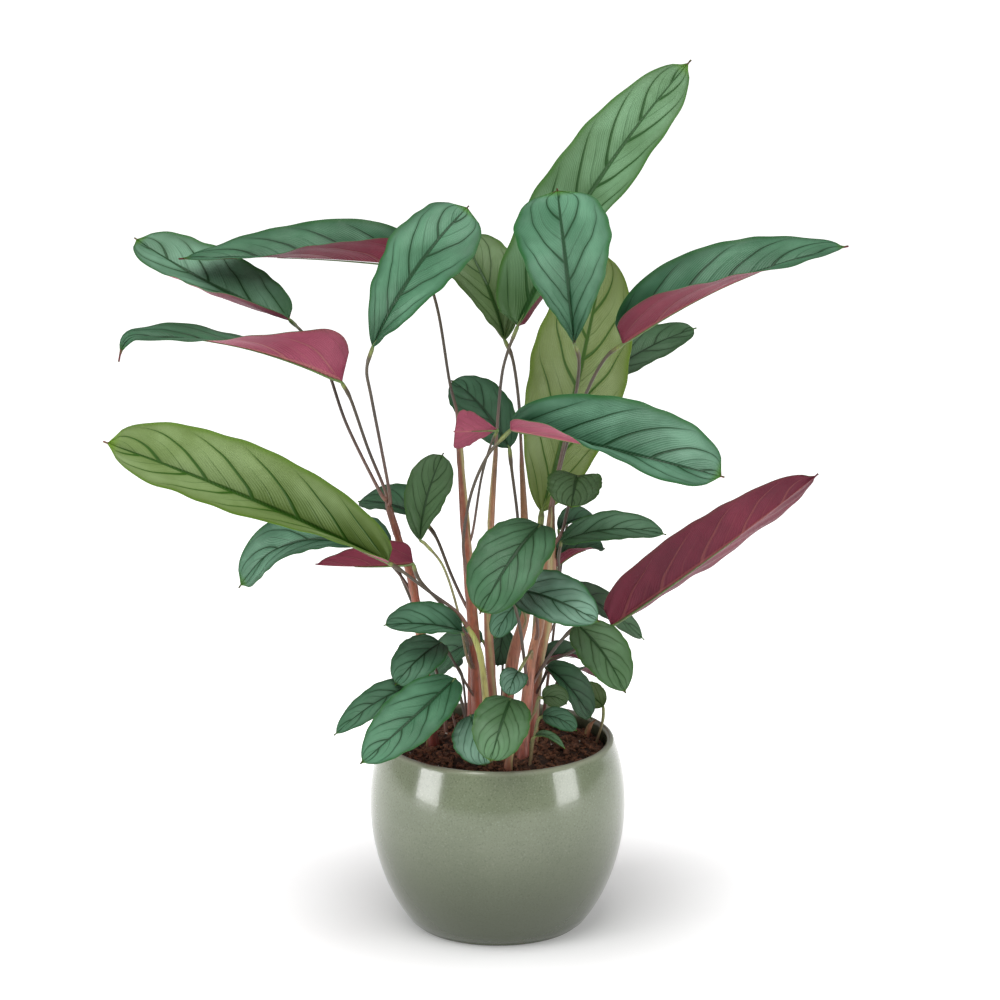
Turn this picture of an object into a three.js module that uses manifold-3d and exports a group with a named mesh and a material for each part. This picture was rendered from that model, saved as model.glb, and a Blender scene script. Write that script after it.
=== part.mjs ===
// Potted ctenanthe: a glazed pot, its soil, sheathed stems, and leaves that each carry their own stalk.
// Millimetres, +Z up. The pot stands on z = 0 with its axis on the Z axis; the plant's front faces -Y.

import * as THREE from "three";
import Module from "manifold-3d";

const wasm = await Module();
wasm.setup();

// ---------- driving dimensions ----------

const potHeight = 166;
const potRadius = 110; // at the belly
const bellyHeight = 108;
const baseReach = 143.6; // vertical half-axis of the oval below the belly
const shoulderReach = 133; // and above it
const potWall = 7;
const potFloor = 9;
const lipRadius = 3.4;
const footRound = 3;

const soilGap = 0.3; // soil to pot, and stem foot to soil
const soilEdge = 155; // height of the soil at the wall
const soilMound = 8; // rise of the soil at the middle

const bladeThickness = 0.7;
const stalkRadius = 1.4;

// ---------- small helpers ----------

const vec = (p) => new THREE.Vector3(...p);
const rad = THREE.MathUtils.degToRad;
const mix = THREE.MathUtils.lerp;
const clamp = THREE.MathUtils.clamp;

function solidMesh(vertices, triangles) {
  return new wasm.Manifold(
    new wasm.Mesh({
      numProp: 3,
      vertProperties: new Float32Array(vertices.flat()),
      triVerts: new Uint32Array(triangles.flat()),
    }),
  );
}

function geometryOf(solid) {
  const mesh = solid.getMesh();
  const geometry = new THREE.BufferGeometry();
  geometry.setAttribute("position", new THREE.BufferAttribute(mesh.vertProperties, 3));
  geometry.setIndex(new THREE.BufferAttribute(mesh.triVerts, 1));
  geometry.computeVertexNormals();
  return geometry;
}

// ---------- materials ----------

const glaze = new THREE.MeshStandardMaterial({ color: 0x87937b, roughness: 0.22, metalness: 0 });
const earth = new THREE.MeshStandardMaterial({ color: 0x3a261b, roughness: 0.95, metalness: 0 });
const silverLeaf = new THREE.MeshStandardMaterial({ color: 0x4f7a60, roughness: 0.5, metalness: 0 });
const youngLeaf = new THREE.MeshStandardMaterial({ color: 0x7d9450, roughness: 0.5, metalness: 0 });
const plumLeaf = new THREE.MeshStandardMaterial({ color: 0x8a4358, roughness: 0.55, metalness: 0 });
const redStem = new THREE.MeshStandardMaterial({ color: 0x9a5a4c, roughness: 0.5, metalness: 0 });
const paleStem = new THREE.MeshStandardMaterial({ color: 0xa5a06a, roughness: 0.5, metalness: 0 });

// ---------- pot and soil ----------

function outerRadius(z) {
  const reach = z < bellyHeight ? baseReach : shoulderReach;
  return potRadius * Math.sqrt(1 - ((z - bellyHeight) / reach) ** 2);
}

function arc(cx, cy, r, from, to, steps) {
  return Array.from({ length: steps + 1 }, (_, i) => {
    const a = rad(mix(from, to, i / steps));
    return new THREE.Vector2(cx + r * Math.cos(a), cy + r * Math.sin(a));
  });
}

function potGeometry() {
  const outline = [new THREE.Vector2(0, 0)];
  outline.push(...arc(outerRadius(0) - footRound, footRound, footRound, -90, -20, 2));
  for (let i = 1; i <= 9; i++) {
    const z = mix(footRound, potHeight - lipRadius - 1, i / 9);
    outline.push(new THREE.Vector2(outerRadius(z), z));
  }
  const lipMiddle = outerRadius(potHeight - lipRadius) - lipRadius;
  outline.push(...arc(lipMiddle, potHeight - lipRadius, lipRadius, 20, 180, 4));
  for (const z of [140, 90, 45, 20]) {
    outline.push(new THREE.Vector2(outerRadius(z) - potWall, z));
  }
  outline.push(new THREE.Vector2(outerRadius(potFloor) - potWall - 6, potFloor));
  outline.push(new THREE.Vector2(0, potFloor));
  return new THREE.LatheGeometry(outline, 36);
}

function soilHeight(x, y) {
  const r = Math.min(Math.hypot(x, y) / 94, 1);
  return soilEdge + soilMound * (1 - r * r);
}

function soilGeometry() {
  const inside = (z) => outerRadius(z) - potWall - soilGap - 0.4;
  const outline = [new THREE.Vector2(0, potFloor + soilGap)];
  outline.push(new THREE.Vector2(inside(potFloor) - 8, potFloor + soilGap));
  for (const z of [20.5, 45, 90, 140]) outline.push(new THREE.Vector2(inside(z) - 0.3, z));
  const edge = 91.5;
  for (const r of [edge, 75, 50, 25, 0]) outline.push(new THREE.Vector2(r, soilHeight(r, 0)));
  return new THREE.LatheGeometry(outline, 24);
}

// ---------- stems and stalks ----------

// A tapered round tube along a smooth curve through the points.
function tubeSolid(points, radii, sides, steps) {
  const curve = new THREE.CatmullRomCurve3(points.map(vec), false, "centripetal");
  const vertices = [];
  const triangles = [];
  const aside = new THREE.Vector3(0, 1, 0.3).normalize();
  for (let i = 0; i <= steps; i++) {
    const t = i / steps;
    const centre = curve.getPoint(t);
    const along = curve.getTangent(t);
    const u = new THREE.Vector3().crossVectors(along, aside).normalize();
    const v = new THREE.Vector3().crossVectors(along, u);
    const place = t * (radii.length - 1);
    const k = Math.min(Math.floor(place), radii.length - 2);
    const r = mix(radii[k], radii[k + 1], place - k);
    for (let j = 0; j < sides; j++) {
      const a = (j / sides) * 2 * Math.PI;
      const p = centre.clone();
      p.addScaledVector(u, r * Math.cos(a));
      p.addScaledVector(v, r * Math.sin(a));
      vertices.push(p.toArray());
    }
  }
  for (let i = 0; i < steps; i++) {
    for (let j = 0; j < sides; j++) {
      const a = i * sides + j;
      const b = i * sides + ((j + 1) % sides);
      triangles.push([a, b, b + sides], [a, b + sides, a + sides]);
    }
  }
  const last = steps * sides;
  for (let j = 1; j < sides - 1; j++) {
    triangles.push([0, j + 1, j], [last, last + j, last + j + 1]);
  }
  const solid = solidMesh(vertices, triangles);
  if (solid.volume() > 0) return solid;
  return solidMesh(vertices, triangles.map(([a, b, c]) => [a, c, b]));
}

// Points that end in the soil give no height there: the foot stands just above it.
function footed(points) {
  return points.map(([x, y, z]) => [x, y, z ?? soilHeight(x, y) + 1]);
}

// ---------- leaf blades ----------

// Half-width of a blade along its length as a share of the widest, with a small drip tip.
function bladeShare(t, [low, high]) {
  const peak = low / (low + high);
  const u = Math.min(t / 0.972, 1);
  const oval = (u ** low * (1 - u) ** high) / (peak ** low * (1 - peak) ** high);
  const drip = 0.09 * clamp((1 - t) / 0.1, 0, 1) ** 1.2 * clamp(t / 0.3, 0, 1);
  return Math.cbrt(oval ** 3 + drip ** 3);
}

// The midrib: a bowed line from base to tip whose last stretch may hook.
function midrib(leaf, t) {
  const hook = leaf.hook ?? [0, 0, 0];
  const bow = leaf.bow ?? [0, 0, 0];
  const from = leaf.hookFrom ?? 0.7;
  const bend = clamp((t - from) / (1 - from), 0, 1) ** 2;
  return new THREE.Vector3(
    ...[0, 1, 2].map((i) => {
      const end = leaf.tip[i] - hook[i];
      const middle = (leaf.base[i] + end) / 2 + 2 * bow[i];
      return (1 - t) ** 2 * leaf.base[i] + 2 * t * (1 - t) * middle + t * t * end + hook[i] * bend;
    }),
  );
}

// One point of the upper face: s runs from -1 at the left margin to 1 at the right one.
// The two halves stand at a fold that eases from base to tip, sooner the larger "opens" is.
function bladePoint(leaf, t, s) {
  const centre = midrib(leaf, t);
  const along = midrib(leaf, Math.min(t + 0.01, 1)).sub(midrib(leaf, Math.max(t - 0.01, 0))).normalize();
  const up = vec(leaf.face).normalize().lerp(vec(leaf.face2 ?? leaf.face).normalize(), t);
  up.addScaledVector(along, -up.dot(along)).normalize();
  const side = new THREE.Vector3().crossVectors(along, up);
  const half = Math.max((leaf.width / 2) * bladeShare(t, leaf.outline), 0.7);
  const [curlBase, curlTip] = (s < 0 ? leaf.left : leaf.right) ?? [0, 0];
  const fold = rad(mix(leaf.fold[0], leaf.fold[1], 1 - (1 - t) ** (leaf.opens ?? 1)));
  const curl = rad(mix(curlBase, curlTip, t)) || 1e-4;
  const q = Math.abs(s);
  const across = (half * (Math.sin(fold + curl * q) - Math.sin(fold))) / curl;
  const raised = (half * (Math.cos(fold) - Math.cos(fold + curl * q))) / curl;
  centre.addScaledVector(side, Math.sign(s) * across).addScaledVector(up, raised);
  return { point: centre, up };
}

function bladeSolid(leaf, lengthSteps, halfSteps) {
  const columns = 2 * halfSteps + 1;
  const count = (lengthSteps + 1) * columns;
  const upper = [];
  const lower = [];
  for (let i = 0; i <= lengthSteps; i++) {
    const t = i / lengthSteps;
    for (let j = -halfSteps; j <= halfSteps; j++) {
      const { point, up } = bladePoint(leaf, t, j / halfSteps);
      upper.push(point.toArray());
      lower.push(point.clone().addScaledVector(up, -bladeThickness).toArray());
    }
  }
  const triangles = [];
  const quad = (a, b, c, d) => triangles.push([a, b, c], [a, c, d]);
  for (let i = 0; i < lengthSteps; i++) {
    for (let j = 0; j < columns - 1; j++) {
      const a = i * columns + j;
      quad(a, a + 1, a + 1 + columns, a + columns);
      quad(count + a, count + a + columns, count + a + 1 + columns, count + a + 1);
    }
    const l = i * columns;
    const r = l + columns - 1;
    quad(l, l + columns, count + l + columns, count + l);
    quad(r, count + r, count + r + columns, r + columns);
  }
  const end = lengthSteps * columns;
  for (let j = 0; j < columns - 1; j++) {
    quad(j, count + j, count + j + 1, j + 1);
    quad(end + j, end + j + 1, count + end + j + 1, count + end + j);
  }
  const solid = solidMesh([...upper, ...lower], triangles);
  if (solid.volume() > 0) return solid;
  return solidMesh([...upper, ...lower], triangles.map(([a, b, c]) => [a, c, b]));
}

// A blade with its stalk, grown as one piece. The stalk runs a little way under the midrib.
function leafSolid(leaf) {
  const long = leaf.width > 42;
  const blade = bladeSolid(leaf, long ? 8 : 5, long ? 2 : 1);
  const thick = leaf.thick ?? (long ? stalkRadius : 1.1);
  const root = midrib(leaf, 0.1).toArray();
  const stalk = tubeSolid(
    [root, leaf.base, ...footed(leaf.stalk)],
    [thick * 0.7, thick, thick * 1.1],
    5,
    leaf.stalk.length + 2,
  );
  const bodies = blade.add(stalk).decompose();
  return bodies.sort((a, b) => b.volume() - a.volume())[0];
}

// ---------- the plant ----------
// A point without a height stands on the soil. Radii run from the foot to the top.

const stems = [
  { name: "stem_left", path: [[-54, -10], [-70, -5, 290], [-84, 0, 341], [-95, 0, 378]],
    radii: [4.2, 3.2, 2.6] },
  { name: "stem_tall", path: [[-15, -34], [-19, -24, 240], [-28, -3, 359], [-34, 17, 446]],
    radii: [5.4, 4.2, 2.2] },
  { name: "stem_topmost", path: [[0, -20], [-8, -13, 270], [-6, 0, 350], [-1, 10, 424]],
    radii: [4, 3.2, 1.8] },
  { name: "stem_centre", path: [[4, -4], [13, -7, 235], [24, -3, 282], [23, 14, 350], [20, 23, 412]],
    radii: [5, 4.2, 1.8] },
  { name: "stem_front_right", path: [[20, -42], [28, -33, 240], [37, -25, 285], [45, -11, 374]],
    radii: [5, 3.8, 2] },
  { name: "stem_right", path: [[28, 0], [34, 5, 222], [43, 10, 265], [47, 8, 320], [46, 6, 372]],
    radii: [4.4, 3.6, 2] },
  { name: "stem_pale", path: [[-6, -50], [-14, -47, 250], [-32, -43, 288]],
    radii: [3, 2.4, 1.5] },
  { name: "stem_rear", path: [[-22, -6], [-22, 2, 250], [-16, 20, 330]],
    radii: [3.6, 2.8, 1.4] },
  { name: "shoot_front", path: [[8, -72], [10, -72, 170], [17, -70, 181]],
    radii: [3.2, 3, 1.4] },
  { name: "shoot_rim", path: [[74, 24], [79, 24, 166], [85, 25, 173]],
    radii: [2.6, 2.2, 1.2] },
];

const leaves = [
  // the tall ones
  { name: "leaf_topmost", base: [17, 10, 527], tip: [163, 60, 745], width: 81, bow: [-8, 0, 6],
    outline: [0.32, 0.5], fold: [20, 8], face: [-0.2, -0.85, 0.5], right: [100, -8],
    stalk: [[8, 12, 502], [3, 14, 478], [-1, 11, 429]] },
  { name: "leaf_upper_right", base: [105, -20, 519], tip: [295, 10, 596], width: 79, bow: [0, 0, 12],
    outline: [0.32, 0.6], fold: [85, 14], face: [0, -0.25, 0.95], opens: 1.6,
    stalk: [[90, -18, 505], [75, -14, 475], [57, -2, 422], [48, 3, 378]] },
  { name: "leaf_upper_left", base: [-61, 40, 570], tip: [-272, 70, 571], width: 71, bow: [0, 0, 5],
    outline: [0.35, 0.7], fold: [85, 14], face: [0, -0.25, 0.95], opens: 1.5,
    stalk: [[-50, 30, 532], [-41, 22, 476], [-35, 18, 451]] },
  { name: "leaf_far_left", base: [-177, 30, 528], tip: [-312, 110, 580], width: 70, bow: [0, 0, -5],
    outline: [0.45, 0.42], fold: [18, 10], face: [0.1, -0.55, 0.85], left: [80, 10],
    stalk: [[-163, 54, 506], [-146, 56, 478], [-129, 36, 434], [-102, 12, 384]] },
  { name: "leaf_folded_left", base: [-132, 10, 478], tip: [-318, -24, 504], width: 80, bow: [0, 0, 15],
    hook: [9, -6, -19], outline: [0.22, 0.75], fold: [88, 10], hookFrom: 0.88,
    face: [0, 0.6, 0.8], face2: [0, -0.35, 0.93], opens: 5,
    stalk: [[-124, 8, 462], [-110, 7, 420], [-96, 4, 385]] },
  { name: "leaf_round_centre", base: [-105, -20, 516], tip: [-24, -10, 635], width: 76, bow: [-5, -14, 8],
    outline: [0.8, 0.36], fold: [16, 4], face: [-0.35, -0.9, 0.3], left: [-15, -50], right: [50, 0],
    stalk: [[-110, -20, 496], [-106, -16, 469], [-92, -5, 386]] },
  { name: "leaf_behind_centre", base: [6, 40, 507], tip: [-32, 90, 586], width: 62, bow: [4, -8, 4],
    outline: [0.75, 0.5], fold: [26, 10], face: [0.1, -0.9, 0.45], left: [70, 0],
    stalk: [[13, 36, 490], [18, 30, 455], [20, 24, 417]] },
  { name: "leaf_facing_centre", base: [64, -50, 526], tip: [49, -70, 663], width: 80, bow: [0, -14, 4],
    outline: [1.05, 0.38], fold: [14, 6], face: [0, -0.95, 0.2], left: [80, -10],
    stalk: [[68, -45, 511], [66, -32, 481], [57, -14, 435], [46, -8, 379]] },
  { name: "leaf_young_back", base: [38, 90, 341], tip: [92, 110, 571], width: 88, bow: [4, 0, 0],
    outline: [0.7, 0.55], fold: [22, 10], face: [-0.15, -0.95, 0.1], colour: "young", thick: 2.2,
    stalk: [[35, 60, 306], [32, 42, 250], [24, 34]] },
  { name: "leaf_back_right", base: [84, 128, 446], tip: [174, 176, 484], width: 36, bow: [0, 0, 6],
    outline: [0.5, 0.5], fold: [14, 8], face: [-0.2, -0.7, 0.7],
    stalk: [[74, 112, 400], [58, 76, 320], [48, 52, 240], [38, 46]] },

  // the middle ones
  { name: "leaf_middle_right", base: [11, -60, 455], tip: [187, -130, 433], width: 88, bow: [0, 0, 2],
    outline: [0.4, 0.38], fold: [75, 12], face: [0.1, -0.55, 0.8],
    stalk: [[-8, -50, 430], [-22, -38, 394], [-29, -26, 350], [-27, -17, 322]] },
  { name: "leaf_turned_middle", base: [0, -42, 450], tip: [-37, -52, 451], width: 40, bow: [0, 0, 0],
    outline: [1.1, 0.22], fold: [16, 6], face: [0.1, 0.9, 0.3],
    stalk: [[-6, -28, 432], [-14, -18, 400], [-21, -8, 352]] },
  { name: "leaf_dark_middle", base: [10, 18, 418], tip: [-40, 84, 460], width: 46, bow: [0, 0, 8],
    outline: [0.5, 0.6], fold: [16, 6], face: [0.1, -0.85, 0.5],
    stalk: [[12, 12, 400], [16, 5, 370], [20, 1, 333]] },
  { name: "leaf_curled_small", base: [68, -14, 402], tip: [62, -50, 384], width: 48, bow: [0, 0, 4],
    outline: [0.35, 0.35], fold: [18, 10], face: [0, -0.3, 0.95],
    stalk: [[67, -14, 390], [60, -6, 372], [55, 4, 348]] },
  { name: "leaf_young_left", base: [-92, -60, 339], tip: [-326, -110, 458], width: 88, bow: [0, 0, 4],
    outline: [0.42, 0.42], fold: [64, 16], face: [0.1, -0.7, 0.75], colour: "young",
    stalk: [[-82, -58, 332], [-57, -50, 310], [-35, -43, 291]] },
  { name: "leaf_drooping_left", base: [-122, 20, 330], tip: [-224, 60, 281], width: 62, bow: [0, 0, 16],
    outline: [0.5, 0.42], fold: [32, 8], face: [0, -0.5, 0.85], hook: [-2, 0, -14],
    stalk: [[-112, 18, 328], [-92, 14, 316], [-77, 3, 300]] },
  { name: "leaf_turned_left", base: [-72, -20, 327], tip: [-154, -40, 332], width: 46, bow: [0, 0, -2],
    outline: [0.25, 0.5], fold: [60, 24], face: [0, 0.5, 0.85], colour: "plum",
    stalk: [[-66, -22, 312], [-45, -28, 290], [-27, -28, 266]] },
  { name: "leaf_shaded_left", base: [-62, 14, 354], tip: [-120, 48, 362], width: 44, bow: [0, 0, 6],
    outline: [0.5, 0.6], fold: [40, 8], face: [0, -0.4, 0.9],
    stalk: [[-52, 10, 340], [-40, 5, 310], [-29, -4, 288]] },
  { name: "leaf_upright_left", base: [-66, -10, 344], tip: [-46, 20, 413], width: 40, bow: [-4, 0, 0],
    outline: [0.75, 0.5], fold: [14, 6], face: [-0.1, -0.95, 0.3], right: [70, 0],
    stalk: [[-60, -13, 340], [-46, -16, 322], [-34, -20, 285], [-26, -27, 245]] },
  { name: "leaf_oval_front", base: [36, -70, 375], tip: [-15, -120, 312], width: 64, bow: [0, -10, 10],
    outline: [0.42, 0.42], fold: [14, 6], face: [-0.25, -0.75, 0.6],
    stalk: [[34, -66, 350], [31, -60, 316], [34, -39, 274]] },
  { name: "leaf_oval_right", base: [12, -70, 320], tip: [85, -110, 302], width: 50, bow: [0, -6, 6],
    outline: [0.5, 0.59], fold: [14, 6], face: [0.1, -0.7, 0.7],
    stalk: [[14, -66, 305], [19, -56, 280], [24, -44, 236]] },
  { name: "leaf_mid_right", base: [54, -2, 341], tip: [143, -20, 352], width: 40, bow: [0, 0, 8],
    outline: [0.5, 0.64], fold: [16, 8], face: [0, -0.4, 0.9],
    stalk: [[52, -4, 328], [52, 0, 312]] },
  { name: "leaf_inner_right", base: [52, 24, 344], tip: [84, 50, 347], width: 26, bow: [0, 0, 4],
    outline: [0.5, 0.5], fold: [55, 10], face: [0, -0.5, 0.85],
    stalk: [[53, 28, 336], [52, 27, 330]] },
  { name: "leaf_inner_low_right", base: [50, 14, 314], tip: [92, 20, 328], width: 40, bow: [0, 0, 6],
    outline: [0.5, 0.5], fold: [66, 12], face: [0, -0.2, 0.95],
    stalk: [[52, 14, 296], [50, 13, 284]] },
  { name: "leaf_turned_right", base: [98, 30, 256], tip: [272, 0, 400], width: 71, bow: [4, 0, 0],
    outline: [0.32, 0.5], fold: [36, 22], face: [-0.36, 0.82, 0.44], colour: "plum",
    stalk: [[86, 26, 246], [62, 16, 236], [40, 9, 227]] },
  { name: "leaf_low_right", base: [68, -40, 278], tip: [108, -80, 230], width: 46, bow: [2, -6, 6],
    outline: [0.5, 0.64], fold: [14, 6], face: [0.3, -0.8, 0.5],
    stalk: [[60, -40, 271], [48, -38, 256], [34, -34, 232]] },
  { name: "leaf_shaded_right", base: [60, 34, 284], tip: [128, 86, 226], width: 36, bow: [0, 0, 8],
    outline: [0.5, 0.64], fold: [14, 6], face: [0, -0.6, 0.8],
    stalk: [[54, 28, 276], [49, 17, 262]] },

  // the low ones round the soil
  { name: "leaf_low_left", base: [-30, -40, 272], tip: [-96, -70, 287], width: 42, bow: [0, 0, 4],
    outline: [0.5, 0.64], fold: [40, 8], face: [0, -0.5, 0.85],
    stalk: [[-26, -37, 262], [-23, -32, 246]] },
  { name: "leaf_low_left_round", base: [-48, -32, 260], tip: [-87, -64, 232], width: 40, bow: [0, -6, 6],
    outline: [0.45, 0.5], fold: [14, 6], face: [-0.2, -0.75, 0.6],
    stalk: [[-40, -33, 248], [-26, -33, 222]] },
  { name: "leaf_behind_stems", base: [-13, 30, 243], tip: [-64, 60, 202], width: 40, bow: [0, 0, 6],
    outline: [0.5, 0.5], fold: [14, 6], face: [0, -0.6, 0.8],
    stalk: [[-9, 20, 236], [-6, 2, 214], [-5, -7, 200]] },
  { name: "leaf_rim_left", base: [-66, -50, 229], tip: [-138, -90, 196], width: 30, bow: [0, -4, 8],
    outline: [0.5, 0.64], fold: [14, 6], face: [-0.1, -0.6, 0.8],
    stalk: [[-56, -46, 224], [-40, -39, 202], [-30, -36]] },
  { name: "leaf_rim_front_left", base: [-36, -64, 238], tip: [-115, -130, 184], width: 52, bow: [0, -10, 2],
    outline: [0.5, 0.64], fold: [14, 6], face: [-0.1, -0.7, 0.7],
    stalk: [[-33, -57, 225], [-27, -50, 195], [-24, -46]] },
  { name: "leaf_rim_pale", base: [-23, -72, 208], tip: [-10, -88, 168], width: 44, bow: [0, -4, 4],
    outline: [0.5, 0.5], fold: [14, 6], face: [-0.2, -0.8, 0.5],
    stalk: [[-22, -67, 202], [-19, -61, 185], [-17, -57]] },
  { name: "leaf_rim_round", base: [11, -88, 228], tip: [-6, -132, 186], width: 48, bow: [0, -8, 6],
    outline: [0.45, 0.5], fold: [12, 6], face: [0, -0.8, 0.6],
    stalk: [[13, -80, 218], [13, -69, 195], [12, -62]] },
  { name: "leaf_seedling_front", base: [18, -60, 243], tip: [9, -84, 229], width: 24, bow: [0, 0, 4],
    outline: [0.5, 0.5], fold: [14, 6], face: [0, -0.7, 0.7],
    stalk: [[24, -54, 252], [29, -43, 256]] },
  { name: "leaf_seedling_centre", base: [17, -20, 291], tip: [-3, -34, 264], width: 24, bow: [0, 0, 4],
    outline: [0.5, 0.5], fold: [14, 6], face: [0, -0.8, 0.6],
    stalk: [[20, -17, 288], [24, -12, 274]] },
  { name: "leaf_base_back", base: [39, 20, 228], tip: [85, 50, 211], width: 30, bow: [0, 0, 8],
    outline: [0.5, 0.5], fold: [50, 12], face: [0, -0.3, 0.95],
    stalk: [[35, 18, 216], [33, 12, 198]] },
  { name: "leaf_base_right", base: [41, -10, 231], tip: [81, 0, 181], width: 34, bow: [0, -6, 8],
    outline: [0.5, 0.5], fold: [36, 10], face: [0.2, -0.8, 0.5], right: [60, 20],
    stalk: [[42, -10, 228], [37, -5, 214]] },
  { name: "leaf_base_small", base: [38, -40, 213], tip: [59, -45, 209], width: 22, bow: [0, 0, 4],
    outline: [0.5, 0.5], fold: [14, 6], face: [0, -0.7, 0.7],
    stalk: [[35, -41, 213], [31, -41, 200]] },
  { name: "leaf_base_streaked", base: [38, -55, 202], tip: [67, -65, 192], width: 20, bow: [0, 0, 4],
    outline: [0.5, 0.5], fold: [14, 6], face: [0, -0.7, 0.7],
    stalk: [[34, -52, 196], [30, -51, 176], [28, -50]] },
  { name: "leaf_rim_bright", base: [91, 18, 187], tip: [70, 34, 198], width: 24, bow: [0, 0, 2],
    outline: [0.5, 0.5], fold: [14, 6], face: [0, -0.8, 0.5], colour: "young",
    stalk: [[91, 12, 180], [89, 10, 170], [83, 10]] },

  { name: "leaf_rim_narrow", base: [32, -62, 187], tip: [57, -74, 179], width: 9, bow: [0, 0, 5],
    outline: [0.5, 0.7], fold: [30, 14], face: [0, -0.4, 0.9],
    stalk: [[29, -60, 180], [27, -58]] },
  { name: "leaf_inner_dark", base: [5, 28, 254], tip: [0, 14, 224], width: 26, bow: [0, -4, 2],
    outline: [0.5, 0.5], fold: [14, 6], face: [0.2, -0.9, 0.3],
    stalk: [[5, 31, 246], [4, 28, 210], [3, 26]] },

  // on the far side
  { name: "leaf_back_centre", base: [14, 60, 288], tip: [16, 136, 300], width: 46, bow: [0, 0, 10],
    outline: [0.5, 0.5], fold: [16, 8], face: [0, 0.2, 1],
    stalk: [[12, 50, 270], [8, 36, 220], [6, 28]] },
  { name: "leaf_back_left", base: [-96, 60, 318], tip: [-168, 124, 326], width: 50, bow: [0, 0, 10],
    outline: [0.5, 0.5], fold: [16, 8], face: [0, 0.2, 1],
    stalk: [[-84, 50, 296], [-62, 34, 244], [-48, 22, 196], [-44, 16]] },
  { name: "leaf_back_tall", base: [48, 124, 404], tip: [98, 206, 452], width: 56, bow: [0, 0, 8],
    outline: [0.5, 0.5], fold: [16, 8], face: [0, 0.2, 1],
    stalk: [[46, 112, 372], [46, 84, 290], [38, 62, 210], [34, 56]] },
  { name: "leaf_back_low_left", base: [-34, 74, 205], tip: [-80, 118, 188], width: 40, bow: [0, 0, 8],
    outline: [0.5, 0.5], fold: [16, 8], face: [0, 0.2, 1],
    stalk: [[-30, 64, 194], [-26, 56]] },
  { name: "leaf_back_low_right", base: [54, 60, 200], tip: [86, 100, 188], width: 38, bow: [0, 0, 8],
    outline: [0.5, 0.5], fold: [16, 8], face: [0, 0.2, 1],
    stalk: [[50, 55, 190], [47, 52]] },
];

// ---------- assembly ----------

const plant = new THREE.Group();
plant.name = "potted_ctenanthe";

function add(name, geometry, material) {
  const mesh = new THREE.Mesh(geometry, material);
  mesh.name = name;
  plant.add(mesh);
}

// A lathe turns about Y, so its outline is stood up on Z.
function lathed(name, geometry, material) {
  add(name, geometry.rotateX(Math.PI / 2), material);
}

lathed("pot", potGeometry(), glaze);
lathed("soil", soilGeometry(), earth);

for (const stem of stems) {
  const steps = stem.path.length + 2;
  const solid = tubeSolid(footed(stem.path), stem.radii, 6, steps);
  add(stem.name, geometryOf(solid), stem.name === "stem_pale" ? paleStem : redStem);
}

const leafColours = { young: youngLeaf, plum: plumLeaf };
for (const leaf of leaves) {
  add(leaf.name, geometryOf(leafSolid(leaf)), leafColours[leaf.colour] ?? silverLeaf);
}

export default plant;
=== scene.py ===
# Potted ctenanthe: the looks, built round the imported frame. Metres, +Z up, front faces -Y.
import math
import random

import bpy
import numpy as np
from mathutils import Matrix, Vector, noise


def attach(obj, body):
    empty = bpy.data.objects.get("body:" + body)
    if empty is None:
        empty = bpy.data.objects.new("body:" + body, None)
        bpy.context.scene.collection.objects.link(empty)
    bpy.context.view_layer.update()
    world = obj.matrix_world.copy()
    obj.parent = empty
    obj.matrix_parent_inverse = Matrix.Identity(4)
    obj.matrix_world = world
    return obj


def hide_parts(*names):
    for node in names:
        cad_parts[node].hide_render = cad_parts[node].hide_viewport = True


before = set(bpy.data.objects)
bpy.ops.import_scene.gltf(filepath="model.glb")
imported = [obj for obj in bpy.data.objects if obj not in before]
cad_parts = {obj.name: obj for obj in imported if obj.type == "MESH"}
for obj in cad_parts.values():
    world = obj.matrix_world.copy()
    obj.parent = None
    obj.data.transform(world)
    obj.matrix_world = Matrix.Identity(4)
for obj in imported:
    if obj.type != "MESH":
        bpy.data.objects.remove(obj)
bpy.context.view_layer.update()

mm = 0.001
dice = random.Random(11)


# Small shop tools.

def clearSelection():
    if bpy.context.object and bpy.context.object.mode != "OBJECT":
        bpy.ops.object.mode_set(mode="OBJECT")
    bpy.ops.object.select_all(action="DESELECT")


def pick(*objects):
    clearSelection()
    for o in objects:
        o.select_set(True)
    bpy.context.view_layer.objects.active = objects[0]


def freeze(o):
    # leaves the object's place in its mesh, with the object at the origin
    pick(o)
    bpy.ops.object.transform_apply(location=True, rotation=True, scale=True)


def applyAll(o):
    pick(o)
    for modifier in list(o.modifiers):
        bpy.ops.object.modifier_apply(modifier=modifier.name)


def joinAll(first, *others):
    pick(first, *others)
    bpy.ops.object.join()
    return first


def mix(a, b, t):
    return a + (b - a) * t


def clamp(value, low=0.0, high=1.0):
    return min(max(value, low), high)


def step(low, high, value):
    t = clamp((value - low) / (high - low))
    return t * t * (3 - 2 * t)


# Shader tools.

def link(tree, socket, value):
    if isinstance(value, bpy.types.NodeSocket):
        tree.links.new(value, socket)
    else:
        socket.default_value = value


def calc(tree, operation, a, b=0.0, c=0.0):
    n = tree.nodes.new("ShaderNodeMath")
    n.operation = operation
    for socket, value in zip(n.inputs, (a, b, c)):
        link(tree, socket, value)
    return n.outputs[0]


def times(tree, a, b):
    return calc(tree, "MULTIPLY", a, b)


def parts(tree, vector):
    n = tree.nodes.new("ShaderNodeSeparateXYZ")
    link(tree, n.inputs[0], vector)
    return n.outputs


def ease(tree, value, start, end, low=0.0, high=1.0):
    # smooth ramp of a value; the limits may be sockets too
    n = tree.nodes.new("ShaderNodeMapRange")
    n.interpolation_type = "SMOOTHSTEP"
    for socket, v in zip(n.inputs, (value, start, end, low, high)):
        link(tree, socket, v)
    return n.outputs[0]


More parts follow.
